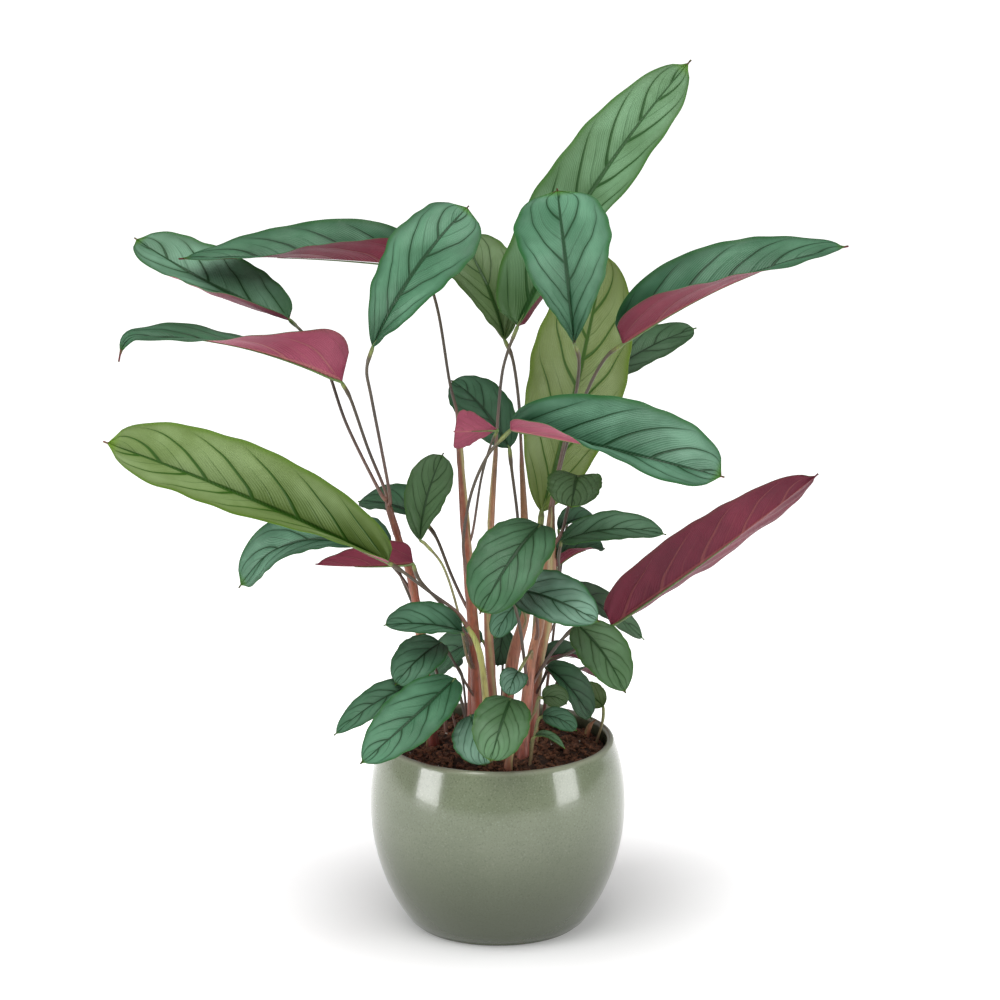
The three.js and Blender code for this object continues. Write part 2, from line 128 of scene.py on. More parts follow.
def tint(tree, amount, a, b):
    # mixes two colours, each a socket or a plain red, green and blue
    n = tree.nodes.new("ShaderNodeMix")
    n.data_type = "RGBA"
    link(tree, n.inputs[0], amount)
    for socket, colour in ((n.inputs[6], a), (n.inputs[7], b)):
        link(tree, socket, (*colour, 1) if isinstance(colour, tuple) else colour)
    return n.outputs[2]


def grain(tree, vector, scale, detail=3.0, roughness=0.55):
    n = tree.nodes.new("ShaderNodeTexNoise")
    n.inputs["Scale"].default_value = scale
    n.inputs["Detail"].default_value = detail
    n.inputs["Roughness"].default_value = roughness
    if vector is not None:
        link(tree, n.inputs["Vector"], vector)
    return n.outputs[0]


def spread(tree, vector, x=1.0, y=1.0, z=1.0):
    n = tree.nodes.new("ShaderNodeMapping")
    n.inputs["Scale"].default_value = (x, y, z)
    link(tree, n.inputs["Vector"], vector)
    return n.outputs[0]


def attribute(tree, name, part="Fac"):
    n = tree.nodes.new("ShaderNodeAttribute")
    n.attribute_name = name
    return n.outputs[part]


def objectSpace(tree):
    return tree.nodes.new("ShaderNodeTexCoord").outputs["Object"]


def relief(tree, height, strength, distance):
    n = tree.nodes.new("ShaderNodeBump")
    n.inputs["Strength"].default_value = strength
    n.inputs["Distance"].default_value = distance
    link(tree, n.inputs["Height"], height)
    return n.outputs[0]


def newFinish(name):
    material = bpy.data.materials.new(name)
    material.use_nodes = True
    tree = material.node_tree
    return material, tree, tree.nodes["Principled BSDF"]


def newGroup(name, inputs, outputs):
    tree = bpy.data.node_groups.new(name, "ShaderNodeTree")
    for label in inputs:
        tree.interface.new_socket(name=label, in_out="INPUT", socket_type="NodeSocketFloat")
    for label in outputs:
        tree.interface.new_socket(name=label, in_out="OUTPUT", socket_type="NodeSocketFloat")
    return tree, tree.nodes.new("NodeGroupInput"), tree.nodes.new("NodeGroupOutput")


# Leaf pattern.
# Along runs 0 to 1 from stalk to tip, Across -1 to 1 from margin to margin.

def makeLeafPattern():
    tree, given, made = newGroup(
        "leafPattern",
        ("Along", "Across", "Count", "Sweep", "Seed"),
        ("Vein", "Rib", "Margin", "Tip", "Lines", "DeepGreenAndShade", "Halo"),
    )
    along, across, count, sweep, seed = given.outputs[:5]
    off = calc(tree, "ABSOLUTE", across)

    # side veins leave the rib at a slant and curve towards the tip, in turn on each side
    bend = calc(tree, "MULTIPLY_ADD", calc(tree, "POWER", off, 2.2), 0.55, times(tree, off, 0.72))
    curve = times(tree, bend, sweep)
    swept = calc(tree, "SUBTRACT", along, curve)
    place = tree.nodes.new("ShaderNodeCombineXYZ")
    link(tree, place.inputs[0], times(tree, along, 1.5))
    link(tree, place.inputs[1], times(tree, across, 0.7))
    link(tree, place.inputs[2], seed)
    wander = calc(tree, "SUBTRACT", grain(tree, place.outputs[0], 2.0, 1.0), 0.5)
    side = times(tree, calc(tree, "GREATER_THAN", across, 0.0), 0.45)
    phase = calc(tree, "MULTIPLY_ADD", swept, count, side)
    phase = calc(tree, "MULTIPLY_ADD", wander, 0.3, phase)
    phase = calc(tree, "ADD", phase, calc(tree, "FRACT", seed))
    apart = calc(tree, "ABSOLUTE", calc(tree, "SUBTRACT", calc(tree, "FRACT", phase), 0.5))
    taper = calc(tree, "POWER", calc(tree, "MAXIMUM", calc(tree, "SUBTRACT", 1.0, off), 0.0), 0.7)
    width = times(tree, calc(tree, "MULTIPLY_ADD", taper, 0.011, 0.003), count)
    line = ease(tree, apart, times(tree, width, 0.4), width, 1.0, 0.0)
    between = ease(tree, apart, 0.47, 0.497, 0.0, 0.45)  # a finer vein half-way to the next
    line = calc(tree, "MAXIMUM", line, times(tree, between, ease(tree, off, 0.3, 0.7, 1.0, 0.0)))
    fade = ease(tree, off, 0.66, 0.95, 1.0, 0.0)
    ends = times(tree, ease(tree, along, 0.02, 0.07), ease(tree, along, 0.93, 0.99, 1.0, 0.0))
    link(tree, made.inputs["Vein"], times(tree, times(tree, line, fade), ends))

    ribWidth = calc(tree, "MULTIPLY_ADD", calc(tree, "SUBTRACT", 1.0, along), 0.07, 0.028)
    rib = ease(tree, off, times(tree, ribWidth, 0.45), ribWidth, 1.0, 0.0)
    link(tree, made.inputs["Rib"], rib)
    link(tree, made.inputs["Margin"], ease(tree, off, 0.86, 0.99))
    link(tree, made.inputs["Tip"], ease(tree, along, 0.94, 0.985))

    # close parallel lines between the veins
    fine = calc(tree, "SINE", times(tree, phase, 75.0))
    broken = grain(tree, spread(tree, place.outputs[0], 1.0, 2.0, 1.0), 9.0, 3.0)
    link(tree, made.inputs["Lines"], times(tree, fine, broken))

    # deeper green down by the rib, towards the stalk and out to the margin: partly the leaf's own darker
    # green, partly painted shade at the base and margins where the blade lies in shade
    nearRib = calc(tree, "POWER", calc(tree, "MAXIMUM", calc(tree, "SUBTRACT", 1.0, off), 0.0), 3.0)
    nearBase = ease(tree, along, 0.0, 0.75, 1.0, 0.15)
    deepGreenAndShaded = calc(tree, "MAXIMUM", times(tree, nearRib, nearBase), ease(tree, along, 0.02, 0.32, 0.9, 0))
    link(tree, made.inputs["DeepGreenAndShade"], calc(tree, "MAXIMUM", deepGreenAndShaded, ease(tree, off, 0.62, 1.0, 0.0, 0.6)))
    link(tree, made.inputs["Halo"], times(tree, ease(tree, apart, 0.0, 0.2, 1.0, 0.0), fade))
    return tree


leafPattern = makeLeafPattern()


def patternOn(tree):
    uv = tree.nodes.new("ShaderNodeUVMap")
    uv.uv_map = "UVMap"
    across, along, _ = parts(tree, uv.outputs[0])
    form = parts(tree, attribute(tree, "leafForm", "Vector"))
    n = tree.nodes.new("ShaderNodeGroup")
    n.node_tree = leafPattern
    link(tree, n.inputs["Along"], along)
    link(tree, n.inputs["Across"], calc(tree, "MULTIPLY_ADD", across, 2.0, -1.0))
    for label, socket in zip(("Count", "Sweep", "Seed"), form):
        link(tree, n.inputs[label], socket)
    return n


# three palettes; each leaf's own tone attribute blends them: deep first (partly a darker leaf, partly
# painted shade on leaves set inside the plant), then young, then a painted sheen that lightens the pale
# colour as light glancing off the blade would
leafTops = {
    "silver": dict(pale=(0.094, 0.252, 0.142), full=(0.009, 0.066, 0.022), vein=(0.004, 0.044, 0.010),
                   edge=(0.014, 0.105, 0.018), tip=(0.06, 0.19, 0.010)),
    "deepAndShaded": dict(pale=(0.036, 0.108, 0.048), full=(0.006, 0.034, 0.010), vein=(0.003, 0.022, 0.004),
                 edge=(0.010, 0.062, 0.008), tip=(0.04, 0.14, 0.009)),
    "young": dict(pale=(0.250, 0.325, 0.120), full=(0.105, 0.165, 0.016), vein=(0.030, 0.100, 0.004),
                  edge=(0.100, 0.185, 0.005), tip=(0.16, 0.30, 0.008)),
}
# painted sheen: a lighter green standing in for light glancing off the blade
paintedSheen = (0.225, 0.400, 0.300)


def leafTopFinish():
    material, tree, surface = newFinish("leafTop")
    pattern = patternOn(tree)
    # depth darkens a leaf, partly painted shade on leaves set inside the plant; the third part is the
    # painted sheen
    depth, youth, paintedSheenAmount = parts(tree, attribute(tree, "leafToneShadeSheen", "Vector"))

    def blend(part):
        colours = [leafTops[kind][part] for kind in ("silver", "deepAndShaded", "young")]
        return tint(tree, youth, tint(tree, depth, colours[0], colours[1]), colours[2])

    full = blend("full")
    pale = tint(tree, paintedSheenAmount, blend("pale"), paintedSheen)
    cloud = grain(tree, objectSpace(tree), 24.0, 3.0)
    field = tint(tree, ease(tree, cloud, 0.32, 0.68, 0.55, 1.0), full, pale)
    field = tint(tree, times(tree, pattern.outputs["Halo"], 0.46), field, full)
    # the leaf's deeper green by rib, base and margin, partly painted shade
    field = tint(tree, times(tree, pattern.outputs["DeepGreenAndShade"], 0.86), field, full)
    lines = calc(tree, "MULTIPLY_ADD", pattern.outputs["Lines"], 0.17, 0.05)
    field = tint(tree, lines, field, full)
    field = tint(tree, times(tree, pattern.outputs["Margin"], 0.9), field, blend("edge"))
    marks = calc(tree, "MAXIMUM", pattern.outputs["Vein"], pattern.outputs["Rib"])
    field = tint(tree, times(tree, marks, 0.95), field, blend("vein"))
    field = tint(tree, pattern.outputs["Tip"], field, blend("tip"))
    link(tree, surface.inputs["Base Color"], field)
    gloss = calc(tree, "MULTIPLY_ADD", grain(tree, objectSpace(tree), 160.0), 0.12, 0.36)
    link(tree, surface.inputs["Roughness"], gloss)
    surface.inputs["Specular IOR Level"].default_value = 0.34
    height = calc(tree, "MULTIPLY_ADD", marks, -1.0, times(tree, pattern.outputs["Lines"], 0.28))
    link(tree, surface.inputs["Normal"], relief(tree, height, 0.6, 0.0008))
    return material


leafBacks = {
    "plum": dict(full=(0.072, 0.007, 0.018), pale=(0.200, 0.026, 0.050), vein=(0.24, 0.07, 0.06),
                 edge=(0.09, 0.03, 0.02)),
    "rose": dict(full=(0.170, 0.024, 0.050), pale=(0.390, 0.090, 0.145), vein=(0.42, 0.17, 0.14),
                 edge=(0.19, 0.07, 0.05)),
}


def leafBackFinish(name, colours):
    material, tree, surface = newFinish(name)
    pattern = patternOn(tree)
    cloud = grain(tree, objectSpace(tree), 12.0, 3.0)
    field = tint(tree, ease(tree, cloud, 0.3, 0.7, 0.2, 0.95), colours["full"], colours["pale"])
    streak = calc(tree, "MULTIPLY_ADD", pattern.outputs["Lines"], 0.34, 0.10)
    field = tint(tree, streak, field, colours["full"])
    field = tint(tree, times(tree, pattern.outputs["Halo"], 0.3), field, colours["full"])
    field = tint(tree, times(tree, pattern.outputs["Vein"], 0.4), field, colours["vein"])
    field = tint(tree, times(tree, pattern.outputs["Rib"], 0.5), field, colours["vein"])
    field = tint(tree, times(tree, pattern.outputs["Margin"], 0.4), field, colours["edge"])
    link(tree, surface.inputs["Base Color"], field)
    link(tree, surface.inputs["Roughness"], calc(tree, "MULTIPLY_ADD", cloud, 0.15, 0.38))
    surface.inputs["Specular IOR Level"].default_value = 0.22
    marks = calc(tree, "MAXIMUM", pattern.outputs["Vein"], pattern.outputs["Rib"])
    height = calc(tree, "MULTIPLY_ADD", pattern.outputs["Lines"], 0.3, marks)
    link(tree, surface.inputs["Normal"], relief(tree, height, 0.6, 0.0009))
    return material


# Stalks and stems: colour follows their length.

def rampOn(tree, value, stops):
    n = tree.nodes.new("ShaderNodeValToRGB")
    ramp = n.color_ramp
    while len(ramp.elements) < len(stops):
        ramp.elements.new(0.5)
    for element, (place, colour) in zip(ramp.elements, stops):
        element.position = place
        element.color = (*colour, 1)
    link(tree, n.inputs[0], value)
    return n.outputs[0]


stalkColours = {
    "dark": [(0.0, (0.10, 0.17, 0.04)), (0.07, (0.17, 0.20, 0.05)), (0.13, (0.075, 0.06, 0.035)),
             (0.55, (0.055, 0.042, 0.032)), (1.0, (0.20, 0.085, 0.06))],
    "pale": [(0.0, (0.14, 0.22, 0.05)), (0.12, (0.26, 0.30, 0.10)), (0.5, (0.22, 0.22, 0.09)),
             (1.0, (0.33, 0.20, 0.12))],
}

stemColours = {
    "red": [(0.0, (0.17, 0.030, 0.022)), (0.15, (0.30, 0.066, 0.036)), (0.45, (0.26, 0.074, 0.034)),
            (0.75, (0.18, 0.048, 0.026)), (1.0, (0.09, 0.042, 0.024))],
    "pink": [(0.0, (0.32, 0.085, 0.065)), (0.2, (0.47, 0.175, 0.115)), (0.5, (0.40, 0.180, 0.095)),
             (0.8, (0.25, 0.120, 0.055)), (1.0, (0.11, 0.07, 0.03))],
    "pale": [(0.0, (0.38, 0.19, 0.09)), (0.3, (0.40, 0.36, 0.11)), (1.0, (0.25, 0.32, 0.07))],
}


def stalkFinish(name, stops, edge=None):
    material, tree, surface = newFinish(name)
    along = attribute(tree, "along")
    streaks = grain(tree, spread(tree, objectSpace(tree), 1.0, 1.0, 0.12), 700.0, 4.0)
    colour = rampOn(tree, along, stops)
    colour = tint(tree, ease(tree, streaks, 0.42, 0.7, 0.0, 0.45), colour, (0.05, 0.035, 0.02))
    if edge:  # the paler lap where one sheath wraps the next
        lap = attribute(tree, "lap")
        colour = tint(tree, times(tree, lap, 0.85), colour, edge)
    blotch = grain(tree, objectSpace(tree), 90.0, 2.0)
    brown = (0.30, 0.16, 0.08) if edge else (0.10, 0.07, 0.04)
    colour = tint(tree, ease(tree, blotch, 0.5, 0.75, 0.0, 0.5), colour, brown)
    link(tree, surface.inputs["Base Color"], colour)
    link(tree, surface.inputs["Roughness"], calc(tree, "MULTIPLY_ADD", streaks, 0.25, 0.32))
    link(tree, surface.inputs["Normal"], relief(tree, streaks, 0.45, 0.0004))
    return material


finishes = {"top": leafTopFinish()}
for kind, colours in leafBacks.items():
    finishes[kind] = leafBackFinish("leafBack_" + kind, colours)
for kind, stops in stalkColours.items():
    finishes["stalk_" + kind] = stalkFinish("stalk_" + kind, stops)
for kind, stops in stemColours.items():
    finishes["stem_" + kind] = stalkFinish("stem_" + kind, stops, edge=(0.36, 0.36, 0.15))
print("leaf, stalk and stem finishes ready")


# The plant's layout, in millimetres, as in the frame.
# A point with no height stands in the soil. The soil's crown is the frame's.

soilShape = dict(edge=155, mound=8, reach=94)


def soilHeight(x, y):
    r = min(math.hypot(x, y) / soilShape["reach"], 1)
    return soilShape["edge"] + soilShape["mound"] * (1 - r * r)


def rooted(points, depth=6):
    return [p if len(p) == 3 else (*p, soilHeight(*p) - depth) for p in points]


stems = {
    "stem_left": dict(
        path=[(-54, -10), (-70, -5, 290), (-84, 0, 341), (-95, 0, 378)], radii=(4.2, 3.2, 2.6)),
    "stem_tall": dict(
        path=[(-15, -34), (-19, -24, 240), (-28, -3, 359), (-34, 17, 446)], radii=(5.4, 4.2, 2.2)),
    "stem_topmost": dict(
        path=[(0, -20), (-8, -13, 270), (-6, 0, 350), (-1, 10, 424)], radii=(4, 3.2, 1.8)),
    "stem_centre": dict(
        path=[(4, -4), (13, -7, 235), (24, -3, 282), (23, 14, 350), (20, 23, 412)], radii=(5, 4.2, 1.8)),
    "stem_front_right": dict(
        path=[(20, -42), (28, -33, 240), (37, -25, 285), (45, -11, 374)], radii=(5, 3.8, 2)),
    "stem_right": dict(
        path=[(28, 0), (34, 5, 222), (43, 10, 265), (47, 8, 320), (46, 6, 372)], radii=(4.4, 3.6, 2)),
    "stem_pale": dict(
        path=[(-6, -50), (-14, -47, 250), (-32, -43, 288)], radii=(3, 2.4, 1.5)),
    "stem_rear": dict(
        path=[(-22, -6), (-22, 2, 250), (-16, 20, 330)], radii=(3.6, 2.8, 1.4)),
    "shoot_front": dict(
        path=[(8, -72), (10, -72, 170), (17, -70, 181)], radii=(3.2, 3, 1.4)),
    "shoot_rim": dict(
        path=[(74, 24), (79, 24, 166), (85, 25, 173)], radii=(2.6, 2.2, 1.2)),
}

# A blade has the plain outline and fold below unless it names its own.
plainLeaf = dict(outline=(0.5, 0.5), fold=(14, 6))

leaves = {
    "leaf_topmost": dict(
        base=(17, 10, 527), tip=(163, 60, 745), width=81, bow=(-8, 0, 6), outline=(0.32, 0.5),
        fold=(20, 8), face=(-0.2, -0.85, 0.5), right=(100, -8),
        stalk=[(8, 12, 502), (3, 14, 478), (-1, 11, 429)]),
    "leaf_upper_right": dict(
        base=(105, -20, 519), tip=(295, 10, 596), width=79, bow=(0, 0, 12), outline=(0.32, 0.6),
        fold=(85, 14), opens=1.6, face=(0, -0.25, 0.95),
        stalk=[(90, -18, 505), (75, -14, 475), (57, -2, 422), (48, 3, 378)]),
    "leaf_upper_left": dict(
        base=(-61, 40, 570), tip=(-272, 70, 571), width=71, bow=(0, 0, 5), outline=(0.35, 0.7),
        fold=(85, 14), opens=1.5, face=(0, -0.25, 0.95),
        stalk=[(-50, 30, 532), (-41, 22, 476), (-35, 18, 451)]),
    "leaf_far_left": dict(
        base=(-177, 30, 528), tip=(-312, 110, 580), width=70, bow=(0, 0, -5), outline=(0.45, 0.42),
        fold=(18, 10), face=(0.1, -0.55, 0.85), left=(80, 10),
        stalk=[(-163, 54, 506), (-146, 56, 478), (-129, 36, 434), (-102, 12, 384)]),
    "leaf_folded_left": dict(
        base=(-132, 10, 478), tip=(-318, -24, 504), width=80, bow=(0, 0, 15), hook=(9, -6, -19),
        hookFrom=0.88, outline=(0.22, 0.75), fold=(88, 10), opens=5, face=(0, 0.6, 0.8),
        face2=(0, -0.35, 0.93), stalk=[(-124, 8, 462), (-110, 7, 420), (-96, 4, 385)]),
    "leaf_round_centre": dict(
        base=(-105, -20, 516), tip=(-24, -10, 635), width=76, bow=(-5, -14, 8), outline=(0.8, 0.36),
        fold=(16, 4), face=(-0.35, -0.9, 0.3), left=(-15, -50), right=(50, 0),
        stalk=[(-110, -20, 496), (-106, -16, 469), (-92, -5, 386)]),
    "leaf_behind_centre": dict(
        base=(6, 40, 507), tip=(-32, 90, 586), width=62, bow=(4, -8, 4), outline=(0.75, 0.5),
        fold=(26, 10), face=(0.1, -0.9, 0.45), left=(70, 0),
        stalk=[(13, 36, 490), (18, 30, 455), (20, 24, 417)]),
    "leaf_facing_centre": dict(
        base=(64, -50, 526), tip=(49, -70, 663), width=80, bow=(0, -14, 4), outline=(1.05, 0.38),
        face=(0, -0.95, 0.2), left=(80, -10),
        stalk=[(68, -45, 511), (66, -32, 481), (57, -14, 435), (46, -8, 379)]),
    "leaf_young_back": dict(
        base=(38, 90, 341), tip=(92, 110, 571), width=88, bow=(4, 0, 0), outline=(0.7, 0.55),
        fold=(22, 10), face=(-0.15, -0.95, 0.1), colour="young", thick=2.2,
        stalk=[(35, 60, 306), (32, 42, 250), (24, 34)]),
    "leaf_back_right": dict(
        base=(84, 128, 446), tip=(174, 176, 484), width=36, bow=(0, 0, 6), fold=(14, 8),
        face=(-0.2, -0.7, 0.7), stalk=[(74, 112, 400), (58, 76, 320), (48, 52, 240), (38, 46)]),
    "leaf_middle_right": dict(
        base=(11, -60, 455), tip=(187, -130, 433), width=88, bow=(0, 0, 2), outline=(0.4, 0.38),
        fold=(75, 12), face=(0.1, -0.55, 0.8),
        stalk=[(-8, -50, 430), (-22, -38, 394), (-29, -26, 350), (-27, -17, 322)]),
    "leaf_turned_middle": dict(
        base=(0, -42, 450), tip=(-37, -52, 451), width=40, outline=(1.1, 0.22), fold=(16, 6),
        face=(0.1, 0.9, 0.3), stalk=[(-6, -28, 432), (-14, -18, 400), (-21, -8, 352)]),
    "leaf_dark_middle": dict(
        base=(10, 18, 418), tip=(-40, 84, 460), width=46, bow=(0, 0, 8), outline=(0.5, 0.6), fold=(16, 6),
        face=(0.1, -0.85, 0.5), stalk=[(12, 12, 400), (16, 5, 370), (20, 1, 333)]),
    "leaf_curled_small": dict(
        base=(68, -14, 402), tip=(62, -50, 384), width=48, bow=(0, 0, 4), outline=(0.35, 0.35),
        fold=(18, 10), face=(0, -0.3, 0.95), stalk=[(67, -14, 390), (60, -6, 372), (55, 4, 348)]),
    "leaf_young_left": dict(
        base=(-92, -60, 339), tip=(-326, -110, 458), width=88, bow=(0, 0, 4), outline=(0.42, 0.42),
        fold=(64, 16), face=(0.1, -0.7, 0.75), colour="young",
        stalk=[(-82, -58, 332), (-57, -50, 310), (-35, -43, 291)]),
    "leaf_drooping_left": dict(
        base=(-122, 20, 330), tip=(-224, 60, 281), width=62, bow=(0, 0, 16), hook=(-2, 0, -14),
        outline=(0.5, 0.42), fold=(32, 8), face=(0, -0.5, 0.85),
        stalk=[(-112, 18, 328), (-92, 14, 316), (-77, 3, 300)]),
    "leaf_turned_left": dict(
        base=(-72, -20, 327), tip=(-154, -40, 332), width=46, bow=(0, 0, -2), outline=(0.25, 0.5),
        fold=(60, 24), face=(0, 0.5, 0.85), colour="plum",
        stalk=[(-66, -22, 312), (-45, -28, 290), (-27, -28, 266)]),
    "leaf_shaded_left": dict(
        base=(-62, 14, 354), tip=(-120, 48, 362), width=44, bow=(0, 0, 6), outline=(0.5, 0.6),
        fold=(40, 8), face=(0, -0.4, 0.9), stalk=[(-52, 10, 340), (-40, 5, 310), (-29, -4, 288)]),
    "leaf_upright_left": dict(
        base=(-66, -10, 344), tip=(-46, 20, 413), width=40, bow=(-4, 0, 0), outline=(0.75, 0.5),
        face=(-0.1, -0.95, 0.3), right=(70, 0),
        stalk=[(-60, -13, 340), (-46, -16, 322), (-34, -20, 285), (-26, -27, 245)]),
    "leaf_oval_front": dict(
        base=(36, -70, 375), tip=(-15, -120, 312), width=64, bow=(0, -10, 10), outline=(0.42, 0.42),
        face=(-0.25, -0.75, 0.6), stalk=[(34, -66, 350), (31, -60, 316), (34, -39, 274)]),
    "leaf_oval_right": dict(
        base=(12, -70, 320), tip=(85, -110, 302), width=50, bow=(0, -6, 6), outline=(0.5, 0.59),
        face=(0.1, -0.7, 0.7), stalk=[(14, -66, 305), (19, -56, 280), (24, -44, 236)]),
    "leaf_mid_right": dict(
        base=(54, -2, 341), tip=(143, -20, 352), width=40, bow=(0, 0, 8), outline=(0.5, 0.64),
        fold=(16, 8), face=(0, -0.4, 0.9), stalk=[(52, -4, 328), (52, 0, 312)]),
    "leaf_inner_right": dict(
        base=(52, 24, 344), tip=(84, 50, 347), width=26, bow=(0, 0, 4), fold=(55, 10),
        face=(0, -0.5, 0.85), stalk=[(53, 28, 336), (52, 27, 330)]),
    "leaf_inner_low_right": dict(
        base=(50, 14, 314), tip=(92, 20, 328), width=40, bow=(0, 0, 6), fold=(66, 12),
        face=(0, -0.2, 0.95), stalk=[(52, 14, 296), (50, 13, 284)]),
    "leaf_turned_right": dict(
        base=(98, 30, 256), tip=(272, 0, 400), width=71, bow=(4, 0, 0), outline=(0.32, 0.5),
        fold=(36, 22), face=(-0.36, 0.82, 0.44), colour="plum",
        stalk=[(86, 26, 246), (62, 16, 236), (40, 9, 227)]),
    "leaf_low_right": dict(
        base=(68, -40, 278), tip=(108, -80, 230), width=46, bow=(2, -6, 6), outline=(0.5, 0.64),
        face=(0.3, -0.8, 0.5), stalk=[(60, -40, 271), (48, -38, 256), (34, -34, 232)]),
    "leaf_shaded_right": dict(
        base=(60, 34, 284), tip=(128, 86, 226), width=36, bow=(0, 0, 8), outline=(0.5, 0.64),
        face=(0, -0.6, 0.8), stalk=[(54, 28, 276), (49, 17, 262)]),
    "leaf_low_left": dict(
        base=(-30, -40, 272), tip=(-96, -70, 287), width=42, bow=(0, 0, 4), outline=(0.5, 0.64),
        fold=(40, 8), face=(0, -0.5, 0.85), stalk=[(-26, -37, 262), (-23, -32, 246)]),
    "leaf_low_left_round": dict(
        base=(-48, -32, 260), tip=(-87, -64, 232), width=40, bow=(0, -6, 6), outline=(0.45, 0.5),
        face=(-0.2, -0.75, 0.6), stalk=[(-40, -33, 248), (-26, -33, 222)]),
    "leaf_behind_stems": dict(
        base=(-13, 30, 243), tip=(-64, 60, 202), width=40, bow=(0, 0, 6), face=(0, -0.6, 0.8),
        stalk=[(-9, 20, 236), (-6, 2, 214), (-5, -7, 200)]),
    "leaf_rim_left": dict(
        base=(-66, -50, 229), tip=(-138, -90, 196), width=30, bow=(0, -4, 8), outline=(0.5, 0.64),
        face=(-0.1, -0.6, 0.8), stalk=[(-56, -46, 224), (-40, -39, 202), (-30, -36)]),
    "leaf_rim_front_left": dict(
        base=(-36, -64, 238), tip=(-115, -130, 184), width=52, bow=(0, -10, 2), outline=(0.5, 0.64),
        face=(-0.1, -0.7, 0.7), stalk=[(-33, -57, 225), (-27, -50, 195), (-24, -46)]),
    "leaf_rim_pale": dict(
        base=(-23, -72, 208), tip=(-10, -88, 168), width=44, bow=(0, -4, 4), face=(-0.2, -0.8, 0.5),
        stalk=[(-22, -67, 202), (-19, -61, 185), (-17, -57)]),
    "leaf_rim_round": dict(
        base=(11, -88, 228), tip=(-6, -132, 186), width=48, bow=(0, -8, 6), outline=(0.45, 0.5),
        fold=(12, 6), face=(0, -0.8, 0.6), stalk=[(13, -80, 218), (13, -69, 195), (12, -62)]),
    "leaf_seedling_front": dict(
        base=(18, -60, 243), tip=(9, -84, 229), width=24, bow=(0, 0, 4), face=(0, -0.7, 0.7),
        stalk=[(24, -54, 252), (29, -43, 256)]),
    "leaf_seedling_centre": dict(
        base=(17, -20, 291), tip=(-3, -34, 264), width=24, bow=(0, 0, 4), face=(0, -0.8, 0.6),
        stalk=[(20, -17, 288), (24, -12, 274)]),
    "leaf_base_back": dict(
        base=(39, 20, 228), tip=(85, 50, 211), width=30, bow=(0, 0, 8), fold=(50, 12),
        face=(0, -0.3, 0.95), stalk=[(35, 18, 216), (33, 12, 198)]),
    "leaf_base_right": dict(
        base=(41, -10, 231), tip=(81, 0, 181), width=34, bow=(0, -6, 8), fold=(36, 10),
        face=(0.2, -0.8, 0.5), right=(60, 20), stalk=[(42, -10, 228), (37, -5, 214)]),
    "leaf_base_small": dict(
        base=(38, -40, 213), tip=(59, -45, 209), width=22, bow=(0, 0, 4), face=(0, -0.7, 0.7),
        stalk=[(35, -41, 213), (31, -41, 200)]),
    "leaf_base_streaked": dict(
        base=(38, -55, 202), tip=(67, -65, 192), width=20, bow=(0, 0, 4), face=(0, -0.7, 0.7),
        stalk=[(34, -52, 196), (30, -51, 176), (28, -50)]),
    "leaf_rim_bright": dict(
        base=(91, 18, 187), tip=(70, 34, 198), width=24, bow=(0, 0, 2), face=(0, -0.8, 0.5),
        colour="young", stalk=[(91, 12, 180), (89, 10, 170), (83, 10)]),
    "leaf_rim_narrow": dict(
        base=(32, -62, 187), tip=(57, -74, 179), width=9, bow=(0, 0, 5), outline=(0.5, 0.7),
        fold=(30, 14), face=(0, -0.4, 0.9), stalk=[(29, -60, 180), (27, -58)]),
    "leaf_inner_dark": dict(
        base=(5, 28, 254), tip=(0, 14, 224), width=26, bow=(0, -4, 2), face=(0.2, -0.9, 0.3),
        stalk=[(5, 31, 246), (4, 28, 210), (3, 26)]),
    "leaf_back_centre": dict(
        base=(14, 60, 288), tip=(16, 136, 300), width=46, bow=(0, 0, 10), fold=(16, 8), face=(0, 0.2, 1),
        stalk=[(12, 50, 270), (8, 36, 220), (6, 28)]),
    "leaf_back_left": dict(
        base=(-96, 60, 318), tip=(-168, 124, 326), width=50, bow=(0, 0, 10), fold=(16, 8),
        face=(0, 0.2, 1), stalk=[(-84, 50, 296), (-62, 34, 244), (-48, 22, 196), (-44, 16)]),
    "leaf_back_tall": dict(
        base=(48, 124, 404), tip=(98, 206, 452), width=56, bow=(0, 0, 8), fold=(16, 8), face=(0, 0.2, 1),
        stalk=[(46, 112, 372), (46, 84, 290), (38, 62, 210), (34, 56)]),
    "leaf_back_low_left": dict(
        base=(-34, 74, 205), tip=(-80, 118, 188), width=40, bow=(0, 0, 8), fold=(16, 8), face=(0, 0.2, 1),
        stalk=[(-30, 64, 194), (-26, 56)]),
    "leaf_back_low_right": dict(
        base=(54, 60, 200), tip=(86, 100, 188), width=38, bow=(0, 0, 8), fold=(16, 8), face=(0, 0.2, 1),
        stalk=[(50, 55, 190), (47, 52)]),
}


# Round, tapering growth along a smooth line.

def smoothLine(points, count):
    # even steps along a rounded path through the points
    knots = [Vector(p) for p in points]
    knots = [2 * knots[0] - knots[1]] + knots + [2 * knots[-1] - knots[-2]]
    spans = len(points) - 1
    line = []
    for i in range(count + 1):
        place = i / count * spans
        k = min(int(place), spans - 1)
        u = place - k
        a, b, c, d = knots[k:k + 4]
        square, cube = 2 * a - 5 * b + 4 * c - d, 3 * b - a - 3 * c + d
        line.append(0.5 * (2 * b + (c - a) * u + square * u * u + cube * u ** 3))
    return line


def valueAlong(values, t):
    place = t * (len(values) - 1)
    k = min(int(place), len(values) - 2)
    return mix(values[k], values[k + 1], place - k)


